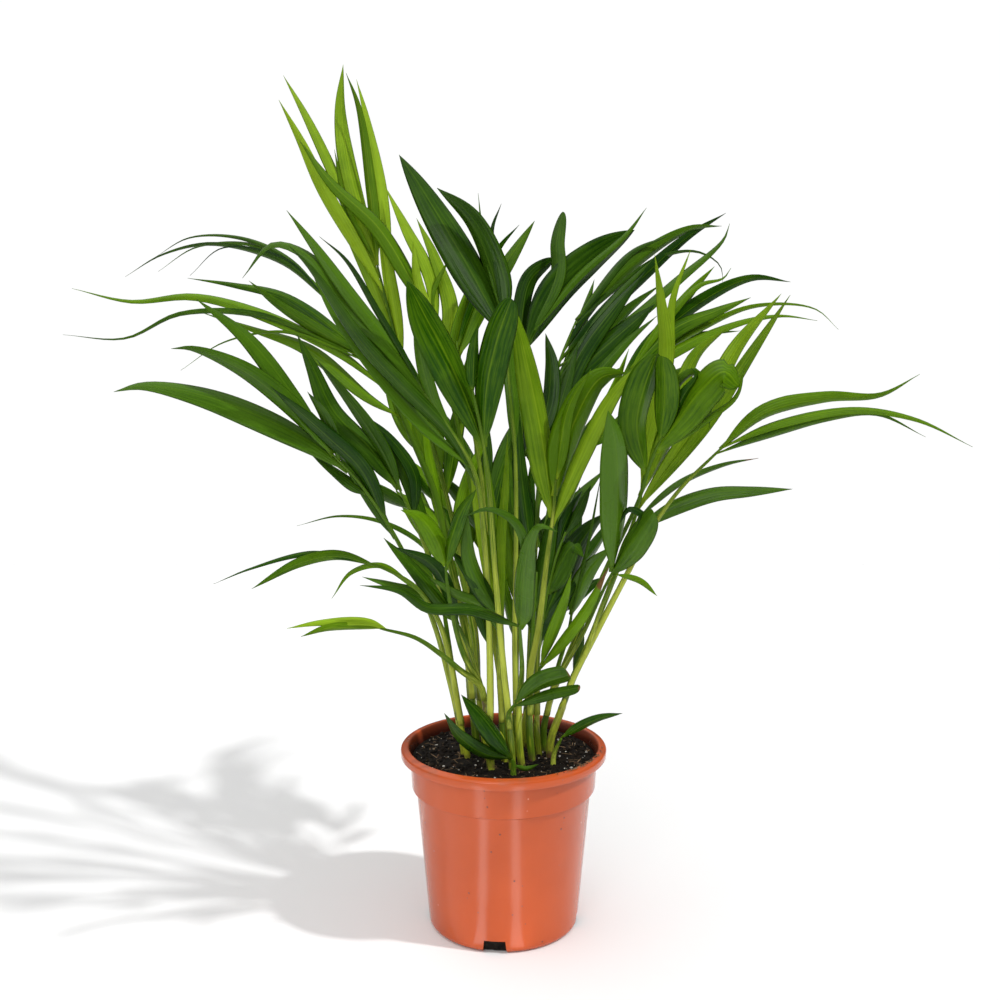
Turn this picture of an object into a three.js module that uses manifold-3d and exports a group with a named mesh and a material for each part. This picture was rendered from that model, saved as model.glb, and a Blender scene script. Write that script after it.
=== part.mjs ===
// A potted feather palm: a clump of young shoots in a thin-walled plastic grower's pot.
// Millimetres, +Z up. The origin is the middle of the pot's underside, and -Y is the front.
import * as THREE from "three";
import { mergeVertices } from "three/addons/utils/BufferGeometryUtils.js";
import Module from "manifold-3d";

const wasm = await Module();
wasm.setup();

// ---- Pot ----
const POT_HEIGHT = 153.4;
const RIM_RADIUS = 85;
const RIM_BAND = 8.4;
const RIM_EDGE = 2.2; // radius of the rim's outer edge
const FLANGE_INNER_RADIUS = 79;
const COLLAR_TOP_RADIUS = 77.2;
const COLLAR_FOOT_RADIUS = 75.9;
const STEP_HEIGHT = 119;
const BODY_TOP_RADIUS = 72.2;
const BODY_FOOT_RADIUS = 62.4;
const BASE_CORNER = 5.5;
const WALL = 1.5;
const PLATE_LIFT = 4;
const CENTRE_PAD_RADIUS = 20;
const FOOT_RING_WIDTH = 4;
const NOTCH_COUNT = 4;
const NOTCH_WIDTH = 19.5;
const NOTCH_HEIGHT = 11;
const NOTCH_DEPTH = 12;
const NOTCH_OVERLAP = 2; // how far a notch's cutter stands out of the wall
const NOTCH_UNDERCUT = 1; // and how far it stands below the foot
const NOTCH_TURN = -0.117; // radians from the front, to the left
const CORNER_TURNS = [0.25, 0.5, 0.75, 1]; // shares of a quarter turn round the base's corner
const POT_SIDES = 32;

// ---- Soil ----
const SOIL_TOP = 144.5;
const SOIL_PLAY = 0.5; // between the soil's edge and the wall where the pot is widest
const SOIL_RADIUS = COLLAR_TOP_RADIUS - WALL - SOIL_PLAY;
const SOIL_MOUND = 1.5;
const SOIL_BUMP = 1.1;
const SOIL_CORNER = 3.2; // size of the slope round the soil's foot
const SOIL_EASE = 0.1; // added to the gap where the wall slopes
const SOIL_RINGS = 3;

// ---- Plant ----
const GAP = 0.3; // between two pieces that touch
const SLIVER = 0.02; // edges shorter than this are merged away
const ROOT_DEPTH = 12; // how far a shoot's foot goes below the soil's top
const SHEATH_MOUTH = 1.15; // how much wider a shoot is where its stalks leave it
const TUBE_SIDES = 5;
const TUBE_STEP = 60;
const FROND_ARCH = 0.4; // share of a frond's lean that comes with its reach
const ARCH_REACH = 330; // reach at which a frond has its whole lean
const LONG_LEAFLET = { stations: [0, 0.15, 0.45, 0.78, 1], widths: [0.35, 0.85, 1, 0.55, 0.06] };
const SHORT_LEAFLET = { stations: [0, 0.3, 0.7, 1], widths: [0.35, 1, 0.7, 0.06] };
const SHORT_REACH = 90; // a leaflet that reaches less far than this has the short outline
const LEAFLET_HALF_THICKNESS = 0.4;
const LEAFLET_FOLD = 0.16; // how far a leaflet's edges stand up, as a share of its width
const LEAFLET_ROLL = 0.5; // radians that a leaflet turns out of the frond's face
const LEAFLET_LIFT = 0.09; // depth that a leaflet's tip gains, as a share of its length
const MIN_ADVANCE = 0.5; // mm that a blade's edges go forward from one section to the next
const NARROWING = 0.8; // by which a section is narrowed until its edges go forward
const MOST_NARROWINGS = 12;
const SNAP = 6; // a leaflet's foot this near the rachis starts on it
const DROP_SEEN = 0.37; // how far down a place on the soil is seen for each mm that it lies nearer

// The plant is drawn as it is seen from a point in front of it: each place has an x and a z on
// the upright plane through the pot's middle, and a depth y along the line of sight.
const EYE = new THREE.Vector3(-2.95, -999, 506.6);
const DRAWING_SHIFT = new THREE.Vector3(-2.95, 0, -1.8);

function seen(x, z, y) {
  const onPlane = new THREE.Vector3(x, 0, z).add(DRAWING_SHIFT);
  return onPlane.lerp(EYE, y / EYE.y);
}

// ---- Colours ----
const TERRACOTTA = 0xc4603d;
const DARK_SOIL = 0x2a1d15;
const SHOOT_GREEN = 0x8fa040;
const LEAF_TONES = { dark: 0x24491f, mid: 0x3f7424, light: 0x6f9f33 };

function material(colour, roughness) {
  return new THREE.MeshStandardMaterial({ color: colour, roughness, metalness: 0 });
}

// ---- Solids ----
function solidFrom(geometry) {
  const bare = geometry.clone();
  for (const name of Object.keys(bare.attributes)) {
    if (name !== "position") bare.deleteAttribute(name);
  }
  const merged = mergeVertices(bare, 1e-4);
  const mesh = new wasm.Mesh({
    numProp: 3,
    vertProperties: new Float32Array(merged.attributes.position.array),
    triVerts: new Uint32Array(merged.index.array),
  });
  return new wasm.Manifold(mesh);
}

function geometryFrom(solid) {
  const mesh = solid.getMesh();
  const geometry = new THREE.BufferGeometry();
  geometry.setAttribute("position", new THREE.BufferAttribute(mesh.vertProperties, 3));
  geometry.setIndex(new THREE.BufferAttribute(mesh.triVerts, 1));
  geometry.computeVertexNormals();
  return geometry;
}

// Skins a row of closed sections, each with the same number of points, and caps both ends.
// The second half of each section's sides is split the other way, so that the two faces of a
// thin blade are split alike and stay apart where it twists.
function loft(sections) {
  const sides = sections[0].length;
  const positions = sections.flat().flatMap((p) => [p.x, p.y, p.z]);
  const faces = [];
  for (let s = 0; s + 1 < sections.length; s++) {
    for (let i = 0; i < sides; i++) {
      const a = s * sides + i;
      const b = s * sides + ((i + 1) % sides);
      if (2 * i < sides) {
        faces.push(a, b, b + sides, a, b + sides, a + sides);
      } else {
        faces.push(a, b, a + sides, b, b + sides, a + sides);
      }
    }
  }
  const last = (sections.length - 1) * sides;
  for (let i = 1; i + 1 < sides; i++) {
    faces.push(0, i + 1, i, last, last + i, last + i + 1);
  }
  const geometry = new THREE.BufferGeometry();
  geometry.setAttribute("position", new THREE.Float32BufferAttribute(positions, 3));
  geometry.setIndex(faces);
  return solidFrom(geometry);
}

function largestPiece(solid) {
  const pieces = solid.decompose();
  return pieces.reduce((a, b) => (b.volume() > a.volume() ? b : a));
}

// ---- Pot and soil ----
function potOutline() {
  const inner = (radius) => radius - WALL;
  const outline = [
    [0, 0],
    [CENTRE_PAD_RADIUS, 0],
    [CENTRE_PAD_RADIUS + 3, PLATE_LIFT],
    [BODY_FOOT_RADIUS - BASE_CORNER - FOOT_RING_WIDTH - 2, PLATE_LIFT],
    [BODY_FOOT_RADIUS - BASE_CORNER - FOOT_RING_WIDTH, 0],
    [BODY_FOOT_RADIUS - BASE_CORNER, 0],
  ];
  for (const turn of CORNER_TURNS) {
    const angle = (turn * Math.PI) / 2;
    outline.push([
      BODY_FOOT_RADIUS - BASE_CORNER + BASE_CORNER * Math.sin(angle),
      BASE_CORNER * (1 - Math.cos(angle)),
    ]);
  }
  const rimFoot = POT_HEIGHT - RIM_BAND;
  outline.push(
    [BODY_TOP_RADIUS, STEP_HEIGHT - 2],
    [COLLAR_FOOT_RADIUS, STEP_HEIGHT],
    [COLLAR_TOP_RADIUS, rimFoot],
    [FLANGE_INNER_RADIUS - 0.4, POT_HEIGHT - WALL - 1],
    [RIM_RADIUS - WALL - 1, POT_HEIGHT - WALL - 0.6],
    [RIM_RADIUS - WALL, rimFoot],
    [RIM_RADIUS, rimFoot],
    [RIM_RADIUS, POT_HEIGHT - RIM_EDGE],
    [RIM_RADIUS - RIM_EDGE * 0.3, POT_HEIGHT - RIM_EDGE * 0.3],
    [RIM_RADIUS - RIM_EDGE, POT_HEIGHT],
    [FLANGE_INNER_RADIUS + 0.6, POT_HEIGHT],
    [FLANGE_INNER_RADIUS - WALL, POT_HEIGHT - 1.5],
    [inner(COLLAR_TOP_RADIUS), rimFoot],
    [inner(COLLAR_FOOT_RADIUS), STEP_HEIGHT + 1],
    [inner(BODY_TOP_RADIUS), STEP_HEIGHT - 2],
    [inner(BODY_FOOT_RADIUS), PLATE_LIFT + WALL + 3],
    [inner(BODY_FOOT_RADIUS) - 3, PLATE_LIFT + WALL],
    [CENTRE_PAD_RADIUS + 2, PLATE_LIFT + WALL],
    [CENTRE_PAD_RADIUS - 1, WALL],
    [0, WALL],
  );
  return outline.map(([r, z]) => new THREE.Vector2(r, z));
}

// Turns an outline of radius and height round the Z axis.
function turned(outline) {
  const geometry = new THREE.LatheGeometry(outline, POT_SIDES);
  return geometry.rotateX(Math.PI / 2);
}

function potSolid() {
  let pot = solidFrom(turned(potOutline()));
  for (let i = 0; i < NOTCH_COUNT; i++) {
    const turn = NOTCH_TURN + (i * 2 * Math.PI) / NOTCH_COUNT;
    const tall = NOTCH_HEIGHT + NOTCH_UNDERCUT;
    const notch = new THREE.BoxGeometry(NOTCH_WIDTH, NOTCH_DEPTH, tall);
    const middle = BODY_FOOT_RADIUS + NOTCH_OVERLAP - NOTCH_DEPTH / 2;
    notch.translate(0, -middle, tall / 2 - NOTCH_UNDERCUT);
    notch.rotateZ(turn);
    pot = pot.subtract(solidFrom(notch));
  }
  return pot;
}

function soilHeight(x, y) {
  const r = Math.hypot(x, y) / SOIL_RADIUS;
  const bumps = Math.sin(x * 0.11 + 1) * Math.cos(y * 0.13) + Math.sin(x * 0.05 - y * 0.09);
  return SOIL_TOP + SOIL_MOUND * (0.6 - r * r) + SOIL_BUMP * bumps * (1 - r * r);
}

function soilSolid() {
  const foot = BODY_FOOT_RADIUS - WALL - GAP;
  const shoulder = BODY_TOP_RADIUS - WALL - GAP;
  const collar = COLLAR_FOOT_RADIUS - WALL - GAP;
  const floor = PLATE_LIFT + WALL + GAP;
  const outline = [
    [0, floor],
    [foot - SOIL_CORNER, floor],
    [foot - 4 * SOIL_EASE, floor + SOIL_CORNER],
    [shoulder - SOIL_EASE, STEP_HEIGHT - 2],
    [collar - SOIL_EASE, STEP_HEIGHT + 1.5],
  ];
  for (let i = 0; i <= SOIL_RINGS; i++) {
    outline.push([SOIL_RADIUS * (1 - i / SOIL_RINGS), SOIL_TOP]);
  }
  const geometry = turned(outline.map(([r, z]) => new THREE.Vector2(r, z)));
  const places = geometry.attributes.position;
  for (let i = 0; i < places.count; i++) {
    if (places.getZ(i) > SOIL_TOP - 0.01) {
      places.setZ(i, soilHeight(places.getX(i), places.getY(i)));
    }
  }
  return solidFrom(geometry);
}

// ---- Shoots and petioles: round stems that taper ----
function tube(points, footRadius, tipRadius, grow) {
  const curve = new THREE.CatmullRomCurve3(points, false, "centripetal");
  const steps = Math.max(3, Math.round(curve.getLength() / TUBE_STEP));
  const sections = [];
  for (let s = 0; s <= steps; s++) {
    const centre = curve.getPointAt(s / steps);
    const along = curve.getTangentAt(s / steps);
    if (s === 0) centre.addScaledVector(along, -grow);
    if (s === steps) centre.addScaledVector(along, grow);
    const side = new THREE.Vector3(0, 1, 0).cross(along).normalize();
    const out = along.clone().cross(side);
    const radius = footRadius + ((tipRadius - footRadius) * s) / steps + grow;
    const section = [];
    for (let i = 0; i < TUBE_SIDES; i++) {
      const turn = (i * 2 * Math.PI) / TUBE_SIDES;
      const spot = centre.clone().addScaledVector(side, radius * Math.cos(turn));
      section.push(spot.addScaledVector(out, radius * Math.sin(turn)));
    }
    sections.push(section);
  }
  return loft(sections);
}

// name, foot x and y on the soil, radius, depth at the top, then the places seen going up
const SHOOTS = [
  ["shoot_01", [-31, 1], 3.0, -1, [[-33, 168], [-37, 189]]],
  ["shoot_02", [-27, -9], 2.8, -13, [[-31, 165], [-34, 183]]],
  ["shoot_03", [-12, -20], 3.4, -27, [[-11, 160], [-12, 188], [-16, 204]]],
  ["shoot_04", [-20, -1], 3.4, -1, [[-21, 170], [-24, 206]]],
  ["shoot_05", [-9, -37], 3.4, -38, [[-9, 155], [-8, 188]]],
  ["shoot_06", [2, -19], 3.2, -20, [[2, 162], [1, 186]]],
  ["shoot_07", [8, -38], 3.2, -39, [[9, 155], [7, 180]]],
  ["shoot_08", [13, -11], 3.4, -11, [[13, 162], [13, 192]]],
  ["shoot_09", [16, -30], 3.2, -32, [[15.6, 160], [15.5, 189]]],
  ["shoot_10", [25, -17], 3.4, -19, [[24.6, 162], [24.6, 192]]],
  ["shoot_11", [31, -6], 3.0, -5, [[30.6, 165], [30.5, 192]]],
  ["shoot_12", [34, 8], 3.4, 5, [[36, 166], [41, 191]]],
  ["shoot_13", [39, -10], 3.4, -17, [[42, 157], [50, 182], [60, 211]]],
  ["shoot_14", [3, 10], 3.4, 13, [[3, 170], [1, 205]]],
  ["shoot_15", [20, 13], 3.4, 19, [[21, 170], [24, 205]]],
  ["shoot_16", [-13, 15], 3.4, 21, [[-14, 170], [-18, 205]]],
];

function shootPlaces([, foot, , topDepth, rising]) {
  const top = rising[rising.length - 1][1];
  const start = new THREE.Vector3(foot[0], foot[1], SOIL_TOP - ROOT_DEPTH);
  const places = rising.map(([x, z]) => {
    const share = (z - SOIL_TOP) / (top - SOIL_TOP);
    return seen(x, z, foot[1] + (topDepth - foot[1]) * share);
  });
  return [start, ...places];
}

function shootSolid(shoot, grow) {
  const [, , radius] = shoot;
  return tube(shootPlaces(shoot), radius, radius * SHEATH_MOUTH, grow);
}

// ---- Fronds ----
// name, tone, the shoot or the foot that it rises from, lean, the places of its stalk going up,
// then its leaflets: a width as seen, and the places seen from the tip back to the stalk.
// A frond's lean is the depth it gains for each millimetre away from its start: - is to the front.
const FRONDS = [
  ["frond_01", "light", "shoot_16", 0.42,
    [[-20, 250], [-40, 350], [-62, 430], [-80, 480], [-90, 520], [-96, 545]], [
    [9, [-166, 688], [-149, 658], [-130, 619], [-95, 535]],
    [12, [-170, 670], [-155, 640], [-137, 600], [-98, 521]],
    [13, [-120, 696], [-122, 661], [-114, 607], [-95, 546]],
    [9, [-118, 690], [-109, 664], [-101, 601], [-94, 550]],
    [11, [-110, 685], [-102, 656], [-90, 589], [-84, 514]],
    [5, [-128, 633], [-120, 590], [-100, 545]],
    [10, [-136, 606], [-112, 560], [-92, 515], [-78, 474]],
    [9, [-92, 596], [-90, 560], [-84, 515], [-77, 472]],
  ]],
  ["frond_02", "dark", "shoot_05", -0.08, [[-9, 257], [-13, 330], [-20, 380], [-42, 420], [-60, 445]], [
    [18, [-202, 535], [-178, 561], [-148, 551], [-124, 519], [-87, 485], [-48, 433]],
    [12, [-165, 560], [-148, 542], [-109, 484], [-78, 450], [-40, 410], [-17, 370]],
    [12, [-166, 587], [-147, 563], [-118, 524], [-85, 482], [-62, 448]],
    [6, [-141, 567], [-121, 549], [-95, 505], [-60, 445]],
    [12, [-148, 541], [-132, 510], [-100, 466], [-60, 420], [-25, 385]],
    [11, [-67, 514], [-64, 480], [-54, 440], [-36, 410]],
    [11, [-22, 322], [-18, 282], [-11, 238]],
  ]],
  ["frond_03", "dark", "shoot_16", 0.27,
    [[-22, 250], [-40, 330], [-66, 400], [-100, 470], [-133, 515]], [
    [4, [-270, 551], [-243, 566], [-202, 566], [-164, 549], [-133, 520]],
    [5, [-294, 536], [-264, 553], [-225, 561], [-171, 547], [-133, 515]],
    [4, [-268, 540], [-237, 559], [-190, 560], [-150, 535], [-125, 505]],
    [3, [-243, 537], [-217, 558], [-170, 550], [-135, 518]],
  ]],
  ["frond_04", "mid", "shoot_04", 0.08,
    [[-26, 240], [-44, 325], [-51, 360], [-68, 403], [-86, 444], [-112, 480]], [
    [9, [-336, 527], [-290, 517], [-241, 521], [-189, 508], [-128, 478], [-88, 444]],
    [5, [-345, 491], [-296, 488], [-252, 507], [-190, 506], [-140, 486], [-106, 472]],
    [11, [-245, 535], [-209, 530], [-169, 521], [-127, 492], [-97, 465]],
    [9, [-197, 533], [-178, 517], [-150, 498], [-112, 470]],
    [12, [-237, 509], [-195, 496], [-150, 480], [-103, 441], [-79, 425]],
    [3, [-253, 463], [-218, 485], [-171, 493], [-130, 480], [-104, 468]],
    [13, [-100, 498], [-84, 460], [-66, 410]],
    [13, [-125, 440], [-102, 415], [-76, 382], [-52, 355]],
    [10, [-60, 440], [-58, 410], [-50, 365], [-44, 328]],
  ]],
  ["frond_05", "dark", "shoot_04", -0.1, [[-30, 240], [-50, 290], [-66, 335], [-81, 368]], [
    [18, [-160, 491], [-148, 465], [-132, 430], [-104, 401], [-81, 368]],
    [12, [-145, 471], [-119, 437], [-95, 400], [-80, 366]],
    [10, [-116, 432], [-88, 409], [-68, 378], [-64, 345]],
    [11, [-120, 381], [-104, 369], [-74, 352]],
    [11, [-98, 418], [-82, 392], [-66, 356], [-56, 306]],
  ]],
  ["frond_06", "dark", "shoot_01", -0.3,
    [[-42, 211], [-53, 254], [-80, 320], [-112, 372], [-134, 396]], [
    [20, [-307, 446], [-284, 451], [-240, 444], [-195, 428], [-150, 405], [-122, 382]],
    [15, [-260, 480], [-244, 480], [-206, 464], [-171, 437], [-134, 398]],
    [17, [-239, 519], [-200, 489], [-164, 443], [-132, 396]],
    [11, [-153, 446], [-141, 427], [-128, 392]],
    [10, [-152, 397], [-132, 383], [-106, 364]],
    [14, [-182, 450], [-140, 412], [-112, 384], [-90, 340]],
    [12, [-150, 430], [-122, 394], [-84, 328]],
  ]],
  ["frond_07", "mid", "shoot_03", -0.6, [[-29, 229], [-36, 252], [-43, 290], [-44, 307]], [
    [16, [-80, 351], [-66, 346], [-52, 328], [-44, 305]],
    [12, [-19, 368], [-31, 350], [-40, 326], [-44, 303]],
  ]],
  ["frond_08", "mid", "shoot_02", 0.2, [[-40, 225], [-46, 270], [-51, 300]], [
    [4, [-164, 338], [-130, 346], [-94, 341], [-62, 322], [-51, 300]],
  ]],
  ["frond_09", "mid", "shoot_02", -0.48, [[-42, 231], [-51, 261], [-69, 288], [-92, 302], [-108, 308]], [
    [5, [-233, 290], [-202, 303], [-152, 316], [-108, 311]],
    [9, [-202, 286], [-163, 307], [-133, 313], [-100, 305]],
    [5, [-137, 278], [-121, 300], [-96, 306], [-66, 284]],
  ]],
  ["frond_10", "dark", "shoot_03", -0.36, [[-24, 232], [-36, 260]], [
    [13, [-94, 328], [-68, 302], [-36, 260]],
    [11, [-86, 321], [-53, 304], [-34, 256]],
    [10, [-112, 296], [-86, 289], [-58, 280], [-35, 258]],
  ]],
  ["frond_11", "light", "shoot_03", -0.8, [[-33, 218], [-47, 230], [-69, 245], [-98, 253]], [
    [7, [-174, 253], [-148, 258], [-107, 259], [-90, 252]],
    [7, [-163, 246], [-140, 253], [-98, 252]],
  ]],
  ["frond_12", "dark", "shoot_09", -0.75, [[18, 217], [17, 240], [16, 257]], [
    [10, [-114, 289], [-82, 285], [-58, 271], [-23, 270], [14, 255]],
    [18, [47, 333], [33, 338], [25, 328], [19, 298], [15, 252]],
    [9, [-30, 345], [-10, 352], [10, 344], [21, 325], [22, 295], [16, 257]],
  ]],
  ["frond_13", "dark", "shoot_06", -0.45, [[-1, 217], [-1, 245], [0, 265]], [
    [15, [-40, 318], [-20, 296], [0, 262]],
    [10, [-58, 296], [-36, 281], [-14, 270], [-1, 250]],
    [14, [-26, 346], [-24, 312], [-1, 262]],
  ]],
  ["frond_14", "mid", "shoot_07", -0.3, [[3, 217], [-4, 300], [-10, 381], [-15, 415], [-22, 448]], [
    [27, [-73, 533], [-60, 508], [-39, 468], [-23, 430], [-14, 400]],
    [23, [9, 519], [-3, 485], [-11, 446], [-14, 402]],
    [10, [-17, 500], [-20, 484], [-22, 446]],
  ]],
  ["frond_15", "dark", "shoot_08", 0.14,
    [[12, 246], [13, 330], [12, 400], [8, 440], [4, 490], [1, 508]], [
    [21, [-78, 629], [-63, 607], [-40, 570], [-16, 528], [2, 490]],
    [19, [-49, 604], [-23, 578], [-4, 532], [1, 500]],
    [3, [-17, 600], [-12, 560], [1, 508]],
    [5, [1, 592], [-7, 570], [1, 508]],
    [11, [12, 502], [8, 476], [12, 436], [13, 400]],
  ]],
  ["frond_16", "mid", "shoot_14", 0.26, [[0, 240], [-8, 330], [-22, 420], [-33, 470], [-34, 486]], [
    [8, [15, 576], [-1, 557], [-20, 515], [-34, 480]],
    [13, [27, 579], [7, 550], [-18, 512], [-36, 474]],
    [12, [-20, 540], [-30, 505], [-36, 460], [-22, 420]],
  ]],
  ["frond_17", "light", "shoot_14", 0.36, [[-4, 240], [-16, 330], [-34, 420], [-47, 470], [-52, 500]], [
    [12, [-89, 605], [-72, 573], [-53, 534], [-50, 490]],
    [10, [-68, 564], [-65, 527], [-51, 492]],
    [12, [-65, 581], [-50, 550], [-38, 509], [-46, 466]],
    [5, [-40, 550], [-54, 521], [-52, 498]],
    [12, [-155, 640], [-130, 607], [-95, 574], [-70, 534], [-52, 500]],
    [10, [-16, 502], [-23, 478], [-30, 450], [-32, 410]],
  ]],
  ["frond_18", "dark", "shoot_11", 0.36, [[29, 230], [22, 350], [16, 430], [18, 470], [22, 492]], [
    [22, [105, 572], [75, 550], [46, 522], [20, 478]],
    [6, [114, 589], [98, 568], [60, 535], [22, 488]],
    [13, [42, 550], [24, 534], [17, 500], [18, 465]],
    [12, [49, 586], [44, 563], [44, 536], [22, 488]],
    [9, [15, 527], [15, 500], [17, 455]],
    [14, [36, 492], [40, 465], [36, 430], [18, 395]],
  ]],
  ["frond_19", "dark", "shoot_15", 0.6, [[25, 240], [30, 350], [38, 440], [48, 472], [60, 502]], [
    [11, [173, 575], [149, 573], [107, 548], [60, 502]],
    [6, [133, 568], [103, 555], [60, 502]],
    [10, [176, 585], [147, 567], [112, 536], [70, 495], [48, 470]],
    [8, [179, 577], [174, 564], [140, 534], [100, 500], [46, 466]],
    [4, [175, 529], [172, 545], [155, 555], [128, 552], [95, 530], [58, 498]],
    [19, [122, 515], [95, 492], [65, 465], [38, 436]],
    [16, [105, 488], [80, 470], [36, 425]],
    [16, [114, 540], [88, 510], [62, 474], [34, 405]],
    [14, [98, 466], [72, 446], [48, 412], [32, 375]],
    [12, [62, 486], [52, 450], [38, 400], [30, 350]],
    [7, [126, 562], [102, 544], [75, 514], [50, 476]],
    [8, [120, 550], [94, 524], [68, 490], [42, 452]],
    [12, [126, 530], [101, 510], [74, 480], [37, 436]],
    [10, [124, 506], [100, 486], [74, 458], [36, 424]],
    [12, [74, 534], [66, 500], [56, 462], [36, 422]],
  ]],
  ["frond_20", "mid", "shoot_15", 0.22, [[30, 235], [48, 330], [68, 400], [85, 440], [104, 464]], [
    [10, [168, 544], [153, 527], [134, 502], [104, 464]],
    [6, [181, 543], [175, 535], [157, 530], [135, 508], [104, 464]],
    [11, [228, 532], [198, 535], [160, 518], [120, 485], [94, 452]],
    [14, [197, 520], [171, 510], [136, 495], [98, 458]],
    [5, [267, 495], [248, 511], [200, 513], [158, 495], [100, 460]],
    [10, [250, 502], [221, 506], [186, 500], [136, 478], [88, 446]],
    [7, [190, 494], [155, 490], [125, 475], [84, 440]],
    [12, [150, 468], [125, 452], [96, 422], [68, 400]],
    [11, [102, 480], [90, 445], [72, 405], [54, 350]],
  ]],
  ["frond_21", "light", "shoot_13", 0.05, [[76, 250], [83, 270], [94, 302], [112, 356], [116, 384]], [
    [15, [221, 523], [187, 480], [160, 422], [129, 376], [110, 352]],
    [12, [228, 522], [192, 468], [165, 425], [125, 372], [110, 352]],
    [15, [180, 497], [155, 474], [137, 417], [113, 362]],
    [13, [121, 553], [126, 518], [130, 474], [116, 407], [114, 368]],
    [9, [149, 557], [136, 517], [134, 470], [116, 384]],
  ]],
  ["frond_22", "mid", "shoot_12", -0.38, [[52, 220], [85, 300], [112, 360], [121, 391], [130, 411]], [
    [26, [124, 476], [114, 448], [109, 418], [117, 380]],
    [20, [129, 474], [131, 444], [128, 406]],
    [9, [151, 465], [156, 460], [146, 443], [130, 411]],
    [28, [190, 450], [178, 462], [160, 448], [144, 426], [124, 398]],
    [8, [167, 417], [166, 438], [154, 461], [139, 449], [127, 404]],
    [6, [194, 466], [187, 442], [165, 425], [124, 396]],
  ]],
  ["frond_23", "light", "shoot_10", -0.2, [[25, 217], [31, 250], [38, 310], [43, 349], [45, 376]], [
    [20, [10, 516], [21, 470], [33, 411], [42, 345]],
    [11, [72, 464], [54, 432], [45, 376]],
    [22, [100, 461], [80, 457], [59, 421], [44, 362]],
    [15, [123, 474], [95, 451], [65, 398], [42, 338]],
  ]],
  ["frond_24", "dark", "shoot_12", -0.55, [[45, 205], [66, 245], [84, 285], [93, 303]], [
    [22, [86, 431], [92, 407], [95, 362], [92, 300]],
    [22, [124, 349], [114, 335], [102, 318], [91, 298]],
    [9, [95, 338], [104, 352], [116, 346], [110, 324], [90, 296]],
  ]],
  ["frond_25", "mid", "shoot_13", -0.2, [[79, 250], [101, 294], [121, 333], [144, 367], [178, 402]], [
    [12, [333, 460], [302, 443], [259, 441], [210, 429], [176, 400]],
    [9, [378, 402], [332, 424], [282, 432], [217, 420], [178, 402]],
    [7, [340, 410], [300, 428], [260, 424], [203, 407], [172, 396]],
  ]],
  ["frond_26", "dark", "shoot_13", -0.06, [[72, 240], [95, 300], [112, 345]], [
    [6, [207, 393], [179, 387], [145, 372], [112, 345]],
    [13, [235, 368], [202, 367], [171, 365], [139, 354], [108, 334]],
  ]],
  ["frond_27", "mid", "shoot_13", -0.45, [[70, 232], [84, 275], [94, 298]], [
    [5, [128, 280], [114, 292], [94, 298]],
  ]],
  ["frond_28", "dark", "shoot_11", 0.2, [[31, 235], [36, 272], [44, 308], [53, 333]], [
    [9, [66, 367], [53, 341], [46, 314]],
    [9, [73, 371], [61, 347], [52, 330]],
    [22, [86, 349], [70, 332], [53, 300], [34, 258]],
    [17, [68, 312], [60, 322], [48, 306], [38, 282]],
    [14, [70, 300], [58, 282], [44, 258], [32, 240]],
  ]],
  ["frond_29", "dark", "shoot_12", 0.05, [[48, 222], [56, 250], [59, 270]], [
    [15, [90, 321], [72, 300], [58, 264]],
    [3, [81, 379], [72, 329], [58, 266]],
    [9, [60, 218], [63, 236], [62, 252], [57, 256]],
  ]],
  ["frond_30", "mid", "shoot_10", -0.5, [[28, 206], [34, 222]], [
    [10, [58, 300], [53, 276], [34, 222]],
    [10, [88, 304], [68, 266], [33, 220]],
  ]],
  ["frond_31", "dark", "shoot_07", -0.7, [[9, 184], [13, 190]], [
    [16, [57, 214], [36, 207], [13, 190]],
    [9, [66, 203], [38, 197], [11, 187]],
  ]],
  ["frond_32", "dark", [11, -48], -0.3, [[11, 138], [10, 142]], [
    [17, [-32, 197], [-13, 176], [4, 152], [10, 142]],
    [12, [-46, 181], [-33, 160], [-11, 145], [10, 142]],
    [4, [32, 137], [22, 133], [11, 136]],
  ]],
  ["frond_33", "mid", [44, -25], -0.2, [[45, 146], [51, 160]], [
    [8, [101, 181], [80, 176], [51, 160]],
  ]],
  ["frond_34", "mid", "shoot_16", 0.62, [[-22, 250], [-36, 330], [-48, 390]], [
    [13, [-92, 452], [-74, 420], [-48, 390]],
    [14, [-62, 470], [-58, 430], [-46, 384]],
    [13, [-24, 462], [-32, 425], [-42, 364]],
    [12, [-96, 400], [-72, 384], [-40, 350]],
    [11, [-10, 410], [-22, 384], [-36, 330]],
    [12, [-74, 440], [-62, 400], [-43, 360]],
    [12, [-84, 366], [-62, 352], [-34, 318]],
  ]],
  ["frond_35", "dark", "shoot_14", 0.8, [[-2, 250], [-8, 320], [-12, 370]], [
    [13, [-56, 440], [-36, 410], [-12, 370]],
    [14, [-18, 458], [-16, 415], [-12, 366]],
    [13, [24, 440], [8, 404], [-10, 350]],
    [12, [-54, 384], [-34, 362], [-8, 325]],
    [12, [30, 384], [14, 360], [-6, 310]],
    [12, [-36, 420], [-26, 390], [-11, 345]],
    [12, [8, 412], [2, 380], [-8, 330]],
  ]],
  ["frond_36", "dark", "shoot_15", 0.86, [[28, 250], [34, 320], [42, 370]], [
    [13, [8, 448], [22, 412], [42, 370]],
    [14, [50, 452], [48, 412], [42, 366]],
    [13, [88, 436], [66, 404], [40, 354]],
    [12, [84, 384], [62, 362], [36, 330]],
    [11, [4, 396], [16, 368], [34, 318]],
    [12, [28, 440], [34, 400], [40, 350]],
    [12, [72, 424], [58, 390], [38, 340]],
  ]],
  ["frond_37", "mid", "shoot_16", 0.95, [[-24, 235], [-36, 280], [-44, 315]], [
    [12, [-84, 368], [-66, 344], [-44, 315]],
    [13, [-48, 384], [-48, 350], [-42, 308]],
    [11, [-10, 366], [-22, 336], [-38, 290]],
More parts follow.
